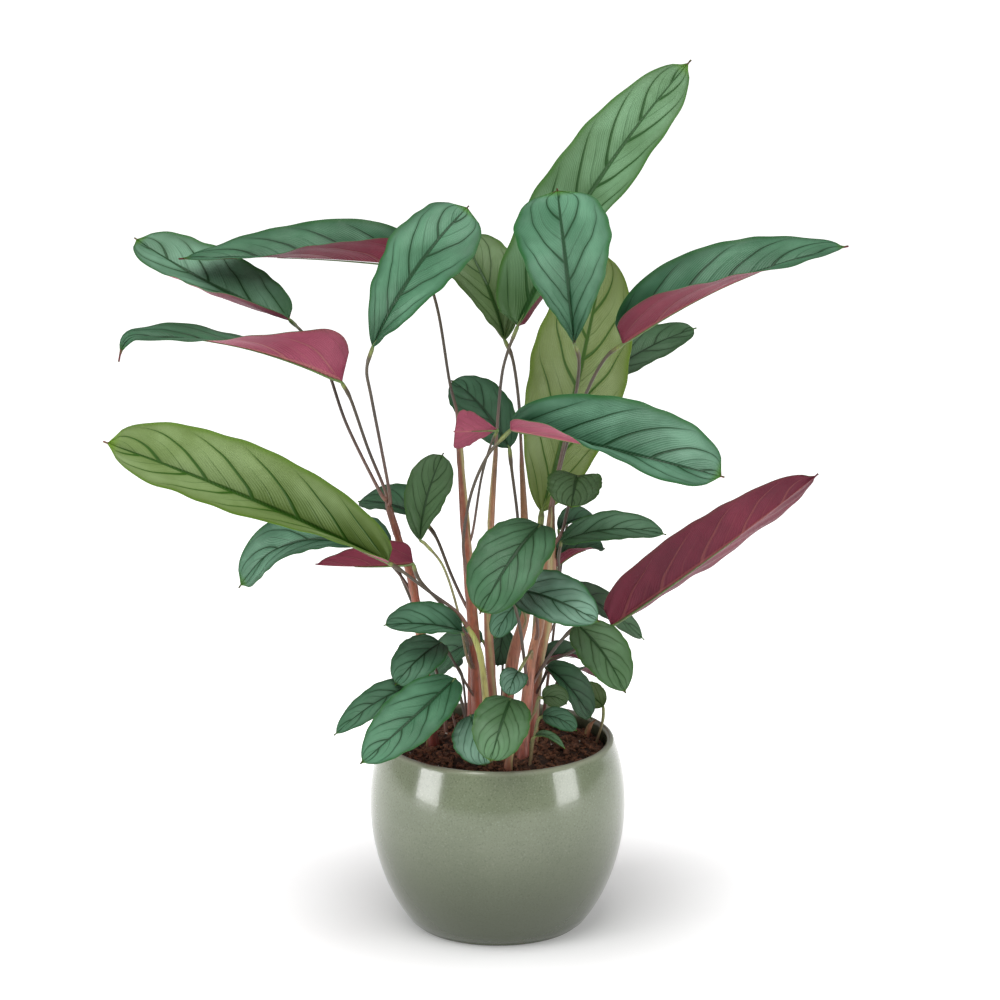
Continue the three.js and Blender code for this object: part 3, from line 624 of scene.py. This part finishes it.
def growTube(name, line, radii, finish, sides=10):
    # a path swept with a round section, each point with its own radius, then made a mesh
    clearSelection()
    bpy.ops.curve.primitive_nurbs_path_add(location=(0, 0, 0))
    path = bpy.context.object
    path.name = name
    curve = path.data
    curve.splines.clear()
    spline = curve.splines.new("POLY")
    spline.points.add(len(line) - 1)
    for point, place, radius in zip(spline.points, line, radii):
        point.co = (*(place * mm), 1)
        point.radius = radius
    curve.dimensions = "3D"
    curve.twist_mode = "MINIMUM"
    curve.bevel_depth = mm
    curve.bevel_resolution = (sides - 4) // 2
    curve.use_fill_caps = True
    bpy.ops.object.convert(target="MESH")
    tube = bpy.context.object
    tube.data.name = name
    tube.data.materials.clear()
    tube.data.materials.append(finishes[finish])
    bpy.ops.object.mode_set(mode="EDIT")
    bpy.ops.mesh.select_all(action="SELECT")
    bpy.ops.mesh.remove_doubles(threshold=1e-6)
    bpy.ops.mesh.normals_make_consistent(inside=False)
    bpy.ops.object.mode_set(mode="OBJECT")
    bpy.ops.object.shade_smooth()
    return tube


def nearestAlong(tube, line):
    # how far along the line each vertex lies, 0 to 1
    where = np.array([tuple(p * mm) for p in line])
    at = np.empty(len(tube.data.vertices) * 3)
    tube.data.vertices.foreach_get("co", at)
    at = at.reshape(-1, 3)
    gaps = ((at[:, None, :] - where[None, :, :]) ** 2).sum(2)
    return at, gaps.argmin(1) / (len(line) - 1)


def storeValues(mesh, name, values, kind="FLOAT"):
    layer = mesh.attributes.new(name, kind, "POINT")
    layer.data.foreach_set("value" if kind == "FLOAT" else "vector", np.ravel(values))


# Leaves.

leafMake = dict(thickness=0.45, edgeSteps=30, lengthSteps=64, smallEdgeSteps=18, smallLengthSteps=36,
                quilt=0.8, ripple=0.9, knee=1.35, kneeLength=14)

roseBacks = ("leaf_folded_left", "leaf_middle_right", "leaf_turned_middle", "leaf_young_left",
             "leaf_far_left")
paleStalks = ("leaf_upright_left", "leaf_seedling_front", "leaf_seedling_centre", "leaf_rim_bright",
              "leaf_young_back", "leaf_base_small", "leaf_base_streaked", "leaf_rim_narrow")
leafTonesShadeSheen = {  # how deep (partly a darker leaf, partly painted shade on leaves set inside the plant), how young, how much painted sheen; the rest are nearly plain silver
    "leaf_topmost": (0, 0.3, 0.1), "leaf_upper_right": (0.25, 0, 0), "leaf_upper_left": (0.5, 0, 0),
    "leaf_far_left": (0, 0.1, 0.45), "leaf_folded_left": (0.5, 0, 0),
    "leaf_round_centre": (0.3, 0, 0.1), "leaf_behind_centre": (0.75, 0.4, 0),
    "leaf_facing_centre": (0.1, 0, 0.15), "leaf_young_back": (0, 1, 0.1),
    "leaf_back_right": (0.75, 0.1, 0), "leaf_middle_right": (0, 0, 0.35),
    "leaf_dark_middle": (0.6, 0, 0), "leaf_curled_small": (0.9, 0.2, 0),
    "leaf_young_left": (0.1, 0.8, 0), "leaf_drooping_left": (0.2, 0, 0.3),
    "leaf_shaded_left": (0.9, 0, 0), "leaf_upright_left": (1, 0.15, 0),
    "leaf_oval_front": (0.6, 0.05, 0), "leaf_oval_right": (0, 0, 0.8),
    "leaf_mid_right": (0.1, 0.1, 0.1), "leaf_inner_right": (0.8, 0, 0),
    "leaf_inner_low_right": (0.8, 0, 0), "leaf_low_right": (0.3, 0.25, 0),
    "leaf_shaded_right": (0.9, 0.1, 0), "leaf_low_left": (0.3, 0, 0.2),
    "leaf_low_left_round": (0.4, 0, 0.1), "leaf_behind_stems": (0.8, 0, 0),
    "leaf_rim_left": (0.35, 0, 0), "leaf_rim_pale": (0, 0, 0.7), "leaf_rim_round": (0.4, 0.2, 0),
    "leaf_seedling_front": (0, 0, 0.7), "leaf_seedling_centre": (0.2, 0, 0.2),
    "leaf_base_back": (1, 0, 0), "leaf_base_right": (1, 0, 0), "leaf_base_small": (0.7, 0.3, 0),
    "leaf_base_streaked": (0.6, 0, 0.1), "leaf_rim_bright": (0.4, 0.5, 0),
    "leaf_rim_narrow": (0.5, 0.2, 0.1), "leaf_inner_dark": (1, 0, 0),
}


def bladeShare(t, outline):
    # half-width along the blade as a share of the widest, with a small drip tip
    low, high = outline
    peak = low / (low + high)
    u = min(t / 0.972, 1)
    oval = (u ** low * (1 - u) ** high) / (peak ** low * (1 - peak) ** high)
    drip = 0.09 * clamp((1 - t) / 0.1) ** 1.2 * clamp(t / 0.3)
    return (oval ** 3 + drip ** 3) ** (1 / 3)


def midrib(leaf, t):
    base = Vector(leaf["base"])
    end = Vector(leaf["tip"]) - Vector(leaf.get("hook", (0, 0, 0)))
    middle = (base + end) / 2 + 2 * Vector(leaf.get("bow", (0, 0, 0)))
    hookFrom = leaf.get("hookFrom", 0.7)
    bend = clamp((t - hookFrom) / (1 - hookFrom)) ** 2
    hook = Vector(leaf.get("hook", (0, 0, 0))) * bend
    return (1 - t) ** 2 * base + 2 * t * (1 - t) * middle + t * t * end + hook


def bladeFrame(leaf, t):
    along = (midrib(leaf, min(t + 0.01, 1)) - midrib(leaf, max(t - 0.01, 0))).normalized()
    up = Vector(leaf["face"]).normalized().lerp(Vector(leaf.get("face2", leaf["face"])).normalized(), t)
    up = (up - up.dot(along) * along).normalized()
    return up, along.cross(up)


def bladePoint(leaf, t, s, form):
    up, side = bladeFrame(leaf, t)
    half = max(leaf["width"] / 2 * bladeShare(t, leaf["outline"]), 0.4)
    opened = 1 - (1 - t) ** leaf.get("opens", 1)
    fold = math.radians(mix(*leaf["fold"], opened))
    curl = math.radians(mix(*leaf.get("left" if s < 0 else "right", (0, 0)), t)) or 1e-4
    q = abs(s)
    across = half * (math.sin(fold + curl * q) - math.sin(fold)) / curl
    raised = half * (math.cos(fold) - math.cos(fold + curl * q)) / curl
    # the blade swells between its side veins, sinks along the rib, and its margin waves a little
    count, sweep, seed = form
    size = min(leaf["width"] / 70, 1)
    phase = (t - sweep * (0.72 * q + 0.55 * q ** 2.2)) * count + (0.45 if s > 0 else 0) + seed % 1
    swell = -leafMake["quilt"] * size * math.cos(2 * math.pi * (phase - 0.5)) * q ** 0.6 * (1 - q) * 2
    valley = -0.8 * size * math.exp(-(q / 0.08) ** 2)
    wave = math.sin(t * 17 + seed * 7 + (2 if s > 0 else 0)) + 0.5 * math.sin(t * 41 + seed * 5)
    wave *= leafMake["ripple"] * size * q ** 3 * step(0, 0.15, t) * step(1, 0.85, t)
    nibble = 0.018 * math.sin(t * 23 + seed * 3 + s) + 0.012 * math.sin(t * 52 + seed * 9)
    across *= 1 + nibble * step(1, 0.9, t)
    bent = fold + curl * q
    off = Vector((across, raised)) + (swell + valley + wave) * Vector((-math.sin(bent), math.cos(bent)))
    return midrib(leaf, t) + side * math.copysign(off.x, s) + up * off.y


def makeBlade(name, leaf, form, back):
    long = leaf["width"] > 42
    across = leafMake["edgeSteps" if long else "smallEdgeSteps"]
    lengthwise = leafMake["lengthSteps" if long else "smallLengthSteps"]
    clearSelection()
    bpy.ops.mesh.primitive_grid_add(x_subdivisions=across, y_subdivisions=lengthwise, size=2, calc_uvs=True)
    blade = bpy.context.object
    blade.name = name
    for vertex in blade.data.vertices:
        s, t = vertex.co.x, (vertex.co.y + 1) / 2
        vertex.co = bladePoint(leaf, t, s, form) * mm
    blade.data.materials.append(finishes["top"])
    blade.data.materials.append(finishes[back])
    sheet = blade.modifiers.new("thickness", "SOLIDIFY")
    sheet.thickness = leafMake["thickness"] * mm
    sheet.offset = -1
    sheet.material_offset = 1
    sheet.material_offset_rim = 0
    applyAll(blade)
    count = len(blade.data.vertices)
    storeValues(blade.data, "leafForm", [form] * count, "FLOAT_VECTOR")
    storeValues(blade.data, "leafToneShadeSheen", [leafTonesShadeSheen.get(name, (0.15, 0.0, 0.0))] * count, "FLOAT_VECTOR")
    return blade


def rootedStalk(leaf, lines):
    # a stalk that doesn't reach the soil runs on into the nearest stem and ends inside it
    path = [Vector(p) for p in rooted(leaf["stalk"])]
    if len(leaf["stalk"][-1]) == 2:
        return path
    foot = path[-1]
    near = [((p - foot).length, k, i) for k, points in enumerate(lines) for i, p in enumerate(points)]
    gap, nearest, at = min(near)
    inside = [p for p in lines[nearest][:at] if (p - foot).length > 16]
    if gap < 22 and inside:
        path.append(inside[-1])
    return path


def makeStalk(name, leaf, lines, finish):
    thick = leaf.get("thick", 1.4 if leaf["width"] > 42 else 1.1)
    path = rootedStalk(leaf, lines)
    steps = 10 + 7 * len(path)
    under = []
    for t in (0.6, 0.45, 0.3, 0.15, 0.05):
        radius = mix(thick * 0.8, 0.3, t / 0.6)
        under.append(midrib(leaf, t) - bladeFrame(leaf, t)[0] * (radius * 0.6 + 1.1))
    base = Vector(leaf["base"]) - bladeFrame(leaf, 0)[0] * 0.5
    under = smoothLine([*under, base], 14)[:-1]
    down = smoothLine([base, *path], steps)
    line = under + down
    radii = []
    for i in range(len(line)):
        if i < len(under):  # the rib under the blade
            radii.append(mix(0.3, thick * 0.85, i / len(under)))
            continue
        run = (line[i] - down[0]).length
        swollen = step(0, 3, run) * step(leafMake["kneeLength"] + 3, leafMake["kneeLength"] - 3, run)
        sheath = 1 + 0.5 * step(0.7, 1, (i - len(under)) / steps)
        radii.append(thick * (1 + (leafMake["knee"] - 1) * swollen) * sheath)
    stalk = growTube(name, line, radii, finish, 8)
    along = nearestAlong(stalk, line)[1]
    first = len(under) / (len(line) - 1)
    storeValues(stalk.data, "along", np.clip((along - first) / (1 - first), 0, 1))
    return stalk


def makeLeaf(number, name, leaf, lines):
    length = (Vector(leaf["tip"]) - Vector(leaf["base"])).length
    veins = length / 44 if length > 160 else 3.7 if length > 75 else 3.3
    form = (veins, 1.6 * leaf["width"] / 2 / length, number * 1.37)
    blade = makeBlade(name, leaf, form, "rose" if name in roseBacks else "plum")
    stalk = makeStalk(name + "_stalk", leaf, lines, "stalk_pale" if name in paleStalks else "stalk_dark")
    whole = joinAll(blade, stalk)
    bpy.ops.object.shade_smooth_by_angle(angle=math.radians(50))
    whole.name = "blade_" + name
    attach(whole, "root")
    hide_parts(name)


lines = [smoothLine(rooted(stem["path"], depth=10), 60) for stem in stems.values()]
for number, (name, leaf) in enumerate(leaves.items()):
    makeLeaf(number, name, {**plainLeaf, **leaf}, lines)
print("leaves:", len(leaves))


# Stems: canes wrapped in sheaths.

stemMake = dict(sheathEvery=62, lapWidth=0.22, sides=20)
stemLook = {"stem_pale": "stem_pale", "stem_tall": "stem_red", "stem_left": "stem_red",
            "stem_rear": "stem_red"}  # the rest are pink


def makeStem(number, name, stem):
    path = rooted(stem["path"], depth=10)
    long = name.startswith("stem")
    steps = 46 if long else 16
    line = smoothLine(path, steps)
    run = [0]
    for a, b in zip(line, line[1:]):
        run.append(run[-1] + (b - a).length)
    every = stemMake["sheathEvery"] * (0.8 + 0.1 * (number % 5))
    radii = []
    for i, done in enumerate(run):
        share = (done / every + number * 0.37) % 1
        wrap = 1 + 0.16 * (1 - share) * (1 if long else 0)  # each sheath is fullest at its mouth below
        close = step(run[-1], run[-1] - 9, done) * 0.55 + 0.45
        foot = 1 + 0.3 * step(26, 0, done)
        radii.append(valueAlong(stem["radii"], i / steps) * wrap * close * foot)
    tube = growTube(name, line, radii, stemLook.get(name, "stem_pink"), stemMake["sides"])
    at, along = nearestAlong(tube, line)
    # the lap runs up one side of the cane and winds slowly
    centre = np.array([tuple(p * mm) for p in line])[np.rint(along * steps).astype(int)]
    out = at - centre
    turn = np.arctan2(out[:, 1], out[:, 0]) + along * 2.5 + number * 1.9
    lap = np.clip(1 - np.abs(((turn / (2 * np.pi)) % 1) - 0.5) / stemMake["lapWidth"] * 1.6, 0, 1) ** 1.5
    storeValues(tube.data, "along", along)
    storeValues(tube.data, "lap", lap)
    lift = (1 + 0.1 * np.clip(lap * 2, 0, 1))[:, None]
    moved = centre + out * lift
    tube.data.vertices.foreach_set("co", moved.ravel())
    tube.data.update()
    tube.name = "cane_" + name
    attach(tube, "root")
    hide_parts(name)


for number, (name, stem) in enumerate(stems.items()):
    makeStem(number, name, stem)
print("stems:", len(stems))


# Glazed pot.

potShape = dict(height=166, belly=110, bellyHeight=108, below=143.6, above=133, wall=7, lip=3.4,
                foot=3, floor=9, floorInset=16, sides=96)


def potRadius(z):
    reach = potShape["below"] if z < potShape["bellyHeight"] else potShape["above"]
    return potShape["belly"] * math.sqrt(1 - ((z - potShape["bellyHeight"]) / reach) ** 2)


def arc(centre, radius, angles):
    # points round a centre, at angles from the outward direction
    turns = [math.radians(a) for a in angles]
    return [(centre[0] + radius * math.cos(a), centre[1] + radius * math.sin(a)) for a in turns]


def potOutline():
    height, lip, foot = potShape["height"], potShape["lip"], potShape["foot"]
    footCentre = (potRadius(0) - foot, foot)
    lipCentre = (potRadius(height - lip) - lip, height - lip)
    outline = [(footCentre[0], 0)]
    outline += arc(footCentre, foot, (-65, -40, -15))
    outline += [(potRadius(z), z) for z in np.linspace(foot + 2, height - lip - 1, 22)]
    outline += arc(lipCentre, lip, range(20, 181, 20))
    outline += [(potRadius(z) - potShape["wall"], z) for z in (150, 140, 120, 90, 60, 30, 18)]
    outline += [(potRadius(potShape["floor"]) - potShape["floorInset"], potShape["floor"])]
    return outline


def glazeFinish():
    material, tree, surface = newFinish("sageGlaze")
    where = objectSpace(tree)
    cloud = grain(tree, where, 9.0, 5.0, 0.6)
    colour = tint(tree, ease(tree, cloud, 0.35, 0.65), (0.150, 0.180, 0.110), (0.182, 0.212, 0.136))
    bands = grain(tree, spread(tree, where, 1.0, 1.0, 9.0), 14.0, 3.0)
    colour = tint(tree, ease(tree, bands, 0.45, 0.75, 0.0, 0.16), colour, (0.20, 0.225, 0.155))
    specks = grain(tree, where, 620.0, 2.0, 0.7)
    colour = tint(tree, ease(tree, specks, 0.54, 0.68, 0.0, 0.42), colour, (0.060, 0.072, 0.042))
    colour = tint(tree, ease(tree, specks, 0.30, 0.42, 0.36, 0.0), colour, (0.30, 0.33, 0.25))
    # painted shade: the glaze colour darkens towards the foot, where the lower pot lies in shade
    height = parts(tree, where)[2]
    paintedFootShade = ease(tree, height, 0.02, 0.165, 0.86, 0.0)
    colour = tint(tree, paintedFootShade, colour, (0.046, 0.056, 0.031))
    # a lighter line over the lip: partly the glaze thinning over the edge, partly a painted highlight along
    # the lip
    lipLineAndHighlight = ease(tree, height, 0.1615, 0.1655)
    colour = tint(tree, times(tree, lipLineAndHighlight, 0.5), colour, (0.36, 0.38, 0.28))
    footLine = ease(tree, height, 0.0, 0.006, 0.6, 0.0)
    colour = tint(tree, footLine, colour, (0.09, 0.10, 0.065))
    link(tree, surface.inputs["Base Color"], colour)
    link(tree, surface.inputs["Roughness"], calc(tree, "MULTIPLY_ADD", specks, 0.14, 0.08))
    surface.inputs["Coat Weight"].default_value = 0.35
    surface.inputs["Coat Roughness"].default_value = 0.05
    dimple = calc(tree, "MULTIPLY_ADD", bands, 0.6, specks)
    link(tree, surface.inputs["Normal"], relief(tree, dimple, 0.14, 0.0005))
    return material


def makePot():
    outline = potOutline()
    clearSelection()
    radius, z = outline[0]
    bpy.ops.mesh.primitive_circle_add(vertices=potShape["sides"], radius=radius * mm, fill_type="NGON")
    pot = bpy.context.object
    pot.name = "glazedPot"
    bpy.ops.object.mode_set(mode="EDIT")
    bpy.ops.mesh.select_all(action="SELECT")
    bpy.ops.mesh.inset(thickness=0.02)
    bpy.ops.mesh.select_all(action="DESELECT")
    bpy.ops.mesh.select_non_manifold()
    for nextRadius, nextZ in outline[1:]:
        bpy.ops.mesh.extrude_region_move(TRANSFORM_OT_translate={"value": (0, 0, (nextZ - z) * mm)})
        bpy.ops.transform.resize(value=(nextRadius / radius, nextRadius / radius, 1))
        radius, z = nextRadius, nextZ
    bpy.ops.mesh.edge_face_add()
    bpy.ops.mesh.inset(thickness=0.02)
    bpy.ops.mesh.select_all(action="SELECT")
    bpy.ops.mesh.normals_make_consistent(inside=False)
    bpy.ops.object.mode_set(mode="OBJECT")
    bpy.ops.object.shade_smooth_by_angle(angle=math.radians(40))
    pot.data.materials.append(glazeFinish())
    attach(pot, "root")
    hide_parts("pot")


makePot()
print("pot thrown and glazed")


# Soil: a crumbly crown with bark, coir and a few pale grains.

soilMake = dict(rings=46, sides=120, radius=91.8, chips=900, fibres=160, grains=26)


def earthFinish(name, dark, light, roughness=0.95):
    material, tree, surface = newFinish(name)
    where = objectSpace(tree)
    crumbs = grain(tree, where, 260.0, 6.0, 0.7)
    clods = grain(tree, where, 60.0, 3.0)
    colour = tint(tree, ease(tree, crumbs, 0.38, 0.66), dark, light)
    colour = tint(tree, ease(tree, clods, 0.45, 0.7, 0.0, 0.5), colour, dark)
    link(tree, surface.inputs["Base Color"], colour)
    link(tree, surface.inputs["Roughness"], calc(tree, "MULTIPLY_ADD", crumbs, 0.1, roughness - 0.1))
    link(tree, surface.inputs["Normal"], relief(tree, crumbs, 0.8, 0.0012))
    return material


def crumble(x, y):
    z = soilHeight(x, y)
    z += 3.2 * noise.noise(Vector((x / 26, y / 26, 0))) + 1.8 * noise.noise(Vector((x / 8, y / 8, 3)))
    z += 0.9 * noise.noise(Vector((x / 3, y / 3, 7)))
    rim = step(soilMake["radius"] - 1, soilMake["radius"] - 12, math.hypot(x, y))
    return mix(soilHeight(x, y) - 1, z, rim)


def makeChip(name, size, finish):
    # one flake: a bevelled block pinched at one end
    clearSelection()
    bpy.ops.mesh.primitive_cube_add(size=1)
    chip = bpy.context.object
    chip.name = name
    chip.scale = tuple(v * mm for v in size)
    freeze(chip)
    bpy.ops.object.mode_set(mode="EDIT")
    bpy.ops.mesh.select_all(action="SELECT")
    bpy.ops.mesh.bevel(offset=min(size) * mm * 0.3, segments=1, affect="EDGES")
    bpy.ops.object.mode_set(mode="OBJECT")
    for vertex in chip.data.vertices:
        vertex.co.y *= 1 - 0.5 * clamp(vertex.co.x / (size[0] * mm) + 0.3)
        vertex.co.z += 0.25 * size[2] * mm * noise.noise(vertex.co * 400)
    chip.data.materials.append(finish)
    return chip


def scatter(pattern, count, sizes, lift):
    made = []
    while len(made) < count:
        r = soilMake["radius"] * math.sqrt(dice.random()) * 0.985
        a = dice.uniform(0, 2 * math.pi)
        size = dice.uniform(*sizes)
        x, y = r * math.cos(a), r * math.sin(a)
        if r > soilMake["radius"] - 5 * size:
            continue
        copy = pattern.copy()
        copy.data = pattern.data.copy()
        copy.location = Vector((x, y, crumble(x, y) + lift * size)) * mm
        copy.rotation_euler = (dice.uniform(-0.7, 0.7), dice.uniform(-0.6, 0.6), dice.uniform(0, 6.28))
        copy.scale = (size,) * 3
        bpy.context.collection.objects.link(copy)
        made.append(copy)
    bpy.data.objects.remove(pattern)
    return made


def makeSoil():
    clearSelection()
    sides, rings = soilMake["sides"], soilMake["rings"]
    bpy.ops.mesh.primitive_grid_add(x_subdivisions=sides, y_subdivisions=rings, size=2)
    crown = bpy.context.object
    crown.name = "pottingSoil"
    for vertex in crown.data.vertices:
        a = math.pi * (vertex.co.x + 1)
        r = soilMake["radius"] * mix(0.002, 1, (1 - vertex.co.y) / 2)
        x, y = r * math.cos(a), r * math.sin(a)
        vertex.co = Vector((x, y, crumble(x, y))) * mm
    bpy.ops.object.mode_set(mode="EDIT")
    bpy.ops.mesh.select_all(action="SELECT")
    bpy.ops.mesh.remove_doubles(threshold=0.0003)
    bpy.ops.mesh.select_all(action="DESELECT")
    bpy.ops.mesh.select_non_manifold()
    bpy.ops.mesh.extrude_region_move(TRANSFORM_OT_translate={"value": (0, 0, -20 * mm)})
    bpy.ops.mesh.edge_face_add()
    bpy.ops.mesh.select_all(action="SELECT")
    bpy.ops.mesh.normals_make_consistent(inside=False)
    bpy.ops.object.mode_set(mode="OBJECT")
    bpy.ops.object.shade_smooth_by_angle(angle=math.radians(60))
    crown.data.materials.append(earthFinish("darkSoil", (0.016, 0.008, 0.004), (0.085, 0.040, 0.020)))
    bark = earthFinish("barkFlake", (0.06, 0.024, 0.010), (0.27, 0.115, 0.055), 0.85)
    coir = earthFinish("coirFibre", (0.12, 0.055, 0.025), (0.34, 0.19, 0.10), 0.9)
    pale = earthFinish("paleGrain", (0.45, 0.42, 0.36), (0.72, 0.70, 0.64), 0.9)
    bits = scatter(makeChip("flake", (8, 5, 2.4), bark), soilMake["chips"], (0.4, 1.2), 0.6)
    bits += scatter(makeChip("crumb", (2.6, 2.2, 1.8), bark), soilMake["chips"] // 2, (0.4, 1.1), 0.5)
    bits += scatter(makeChip("fibre", (9, 0.6, 0.5), coir), soilMake["fibres"], (0.5, 1.2), 1.2)
    bits += scatter(makeChip("paleGrain", (2.2, 1.9, 1.6), pale), soilMake["grains"], (0.5, 1.1), 0.9)
    joinAll(crown, *bits)
    freeze(crown)
    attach(crown, "root")
    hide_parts("soil")


makeSoil()
print("soil filled")


# Stage, light and camera.

stageSet = dict(floorSize=14, floorTint=0.8, glow=(0.20, 0.82), world=0.34)


def floorFinish():
    material, tree, surface = newFinish("paleFloor")
    cloud = grain(tree, objectSpace(tree), 3.0, 2.0)
    tone = stageSet["floorTint"]
    colour = tint(tree, cloud, (tone,) * 3, (tone + 0.01,) * 3)
    link(tree, surface.inputs["Base Color"], colour)
    # painted light: the floor glows, more strongly on the sweep behind than at the spot where the pot
    # stands
    away = tree.nodes.new("ShaderNodeVectorMath")
    away.operation = "LENGTH"
    link(tree, away.inputs[0], objectSpace(tree))
    near, far = stageSet["glow"]
    glow = ease(tree, away.outputs["Value"], 0.07, 0.40, near, far)
    lit = tint(tree, glow, (0, 0, 0), (1, 1, 1))
    link(tree, surface.inputs["Emission Color"], lit)
    surface.inputs["Emission Strength"].default_value = 1.0
    surface.inputs["Specular IOR Level"].default_value = 0.1
    surface.inputs["Roughness"].default_value = 0.8
    return material


clearSelection()
bpy.ops.mesh.primitive_plane_add(size=stageSet["floorSize"], location=(0, 0, 0))
floor = bpy.context.object
floor.name = "floor"
floor.data.materials.append(floorFinish())

world = bpy.data.worlds.new("paleStudio")
bpy.context.scene.world = world
world.use_nodes = True
world.node_tree.nodes["Background"].inputs[0].default_value = (1, 1, 1, 1)
# seen directly the studio is plain white, but it lights the plant more softly than that
seen = world.node_tree.nodes.new("ShaderNodeLightPath").outputs["Is Camera Ray"]
strength = calc(world.node_tree, "MULTIPLY_ADD", seen, 1.05 - stageSet["world"], stageSet["world"])
link(world.node_tree, world.node_tree.nodes["Background"].inputs[1], strength)

lamps = {  # place, what it looks at, width, height, power
    "leftSoftbox": ((-1.85, -0.85, 0.36), (0, 0, 0.16), 0.85, 0.6, 14.5),
    "rightSoftbox": ((1.85, -0.85, 0.36), (0, 0, 0.16), 0.85, 0.6, 11.5),
    "overhead": ((-0.3, -0.9, 2.3), (0, 0, 0.35), 1.8, 1.8, 44),
}


def hangLamp(name, place, target, width, height, power):
    data = bpy.data.lights.new(name, "AREA")
    data.shape = "RECTANGLE"
    data.size, data.size_y = width, height
    data.energy = power
    lamp = bpy.data.objects.new(name, data)
    bpy.context.collection.objects.link(lamp)
    lamp.location = place
    lamp.rotation_euler = (Vector(target) - Vector(place)).to_track_quat("-Z", "Y").to_euler()


for name, settings in lamps.items():
    hangLamp(name, *settings)

bpy.context.scene.view_settings.view_transform = "Standard"

viewer = dict(place=(0.002, -4.5, 1.64), tilt=15.68, lens=198)
lensData = bpy.data.cameras.new("camera")
lensData.lens = viewer["lens"]
lensData.sensor_width = 36
camera = bpy.data.objects.new("camera", lensData)
bpy.context.collection.objects.link(camera)
camera.location = viewer["place"]
camera.rotation_euler = (math.radians(90 - viewer["tilt"]), 0, 0)
bpy.context.scene.camera = camera
print("stage, lamps and camera set")
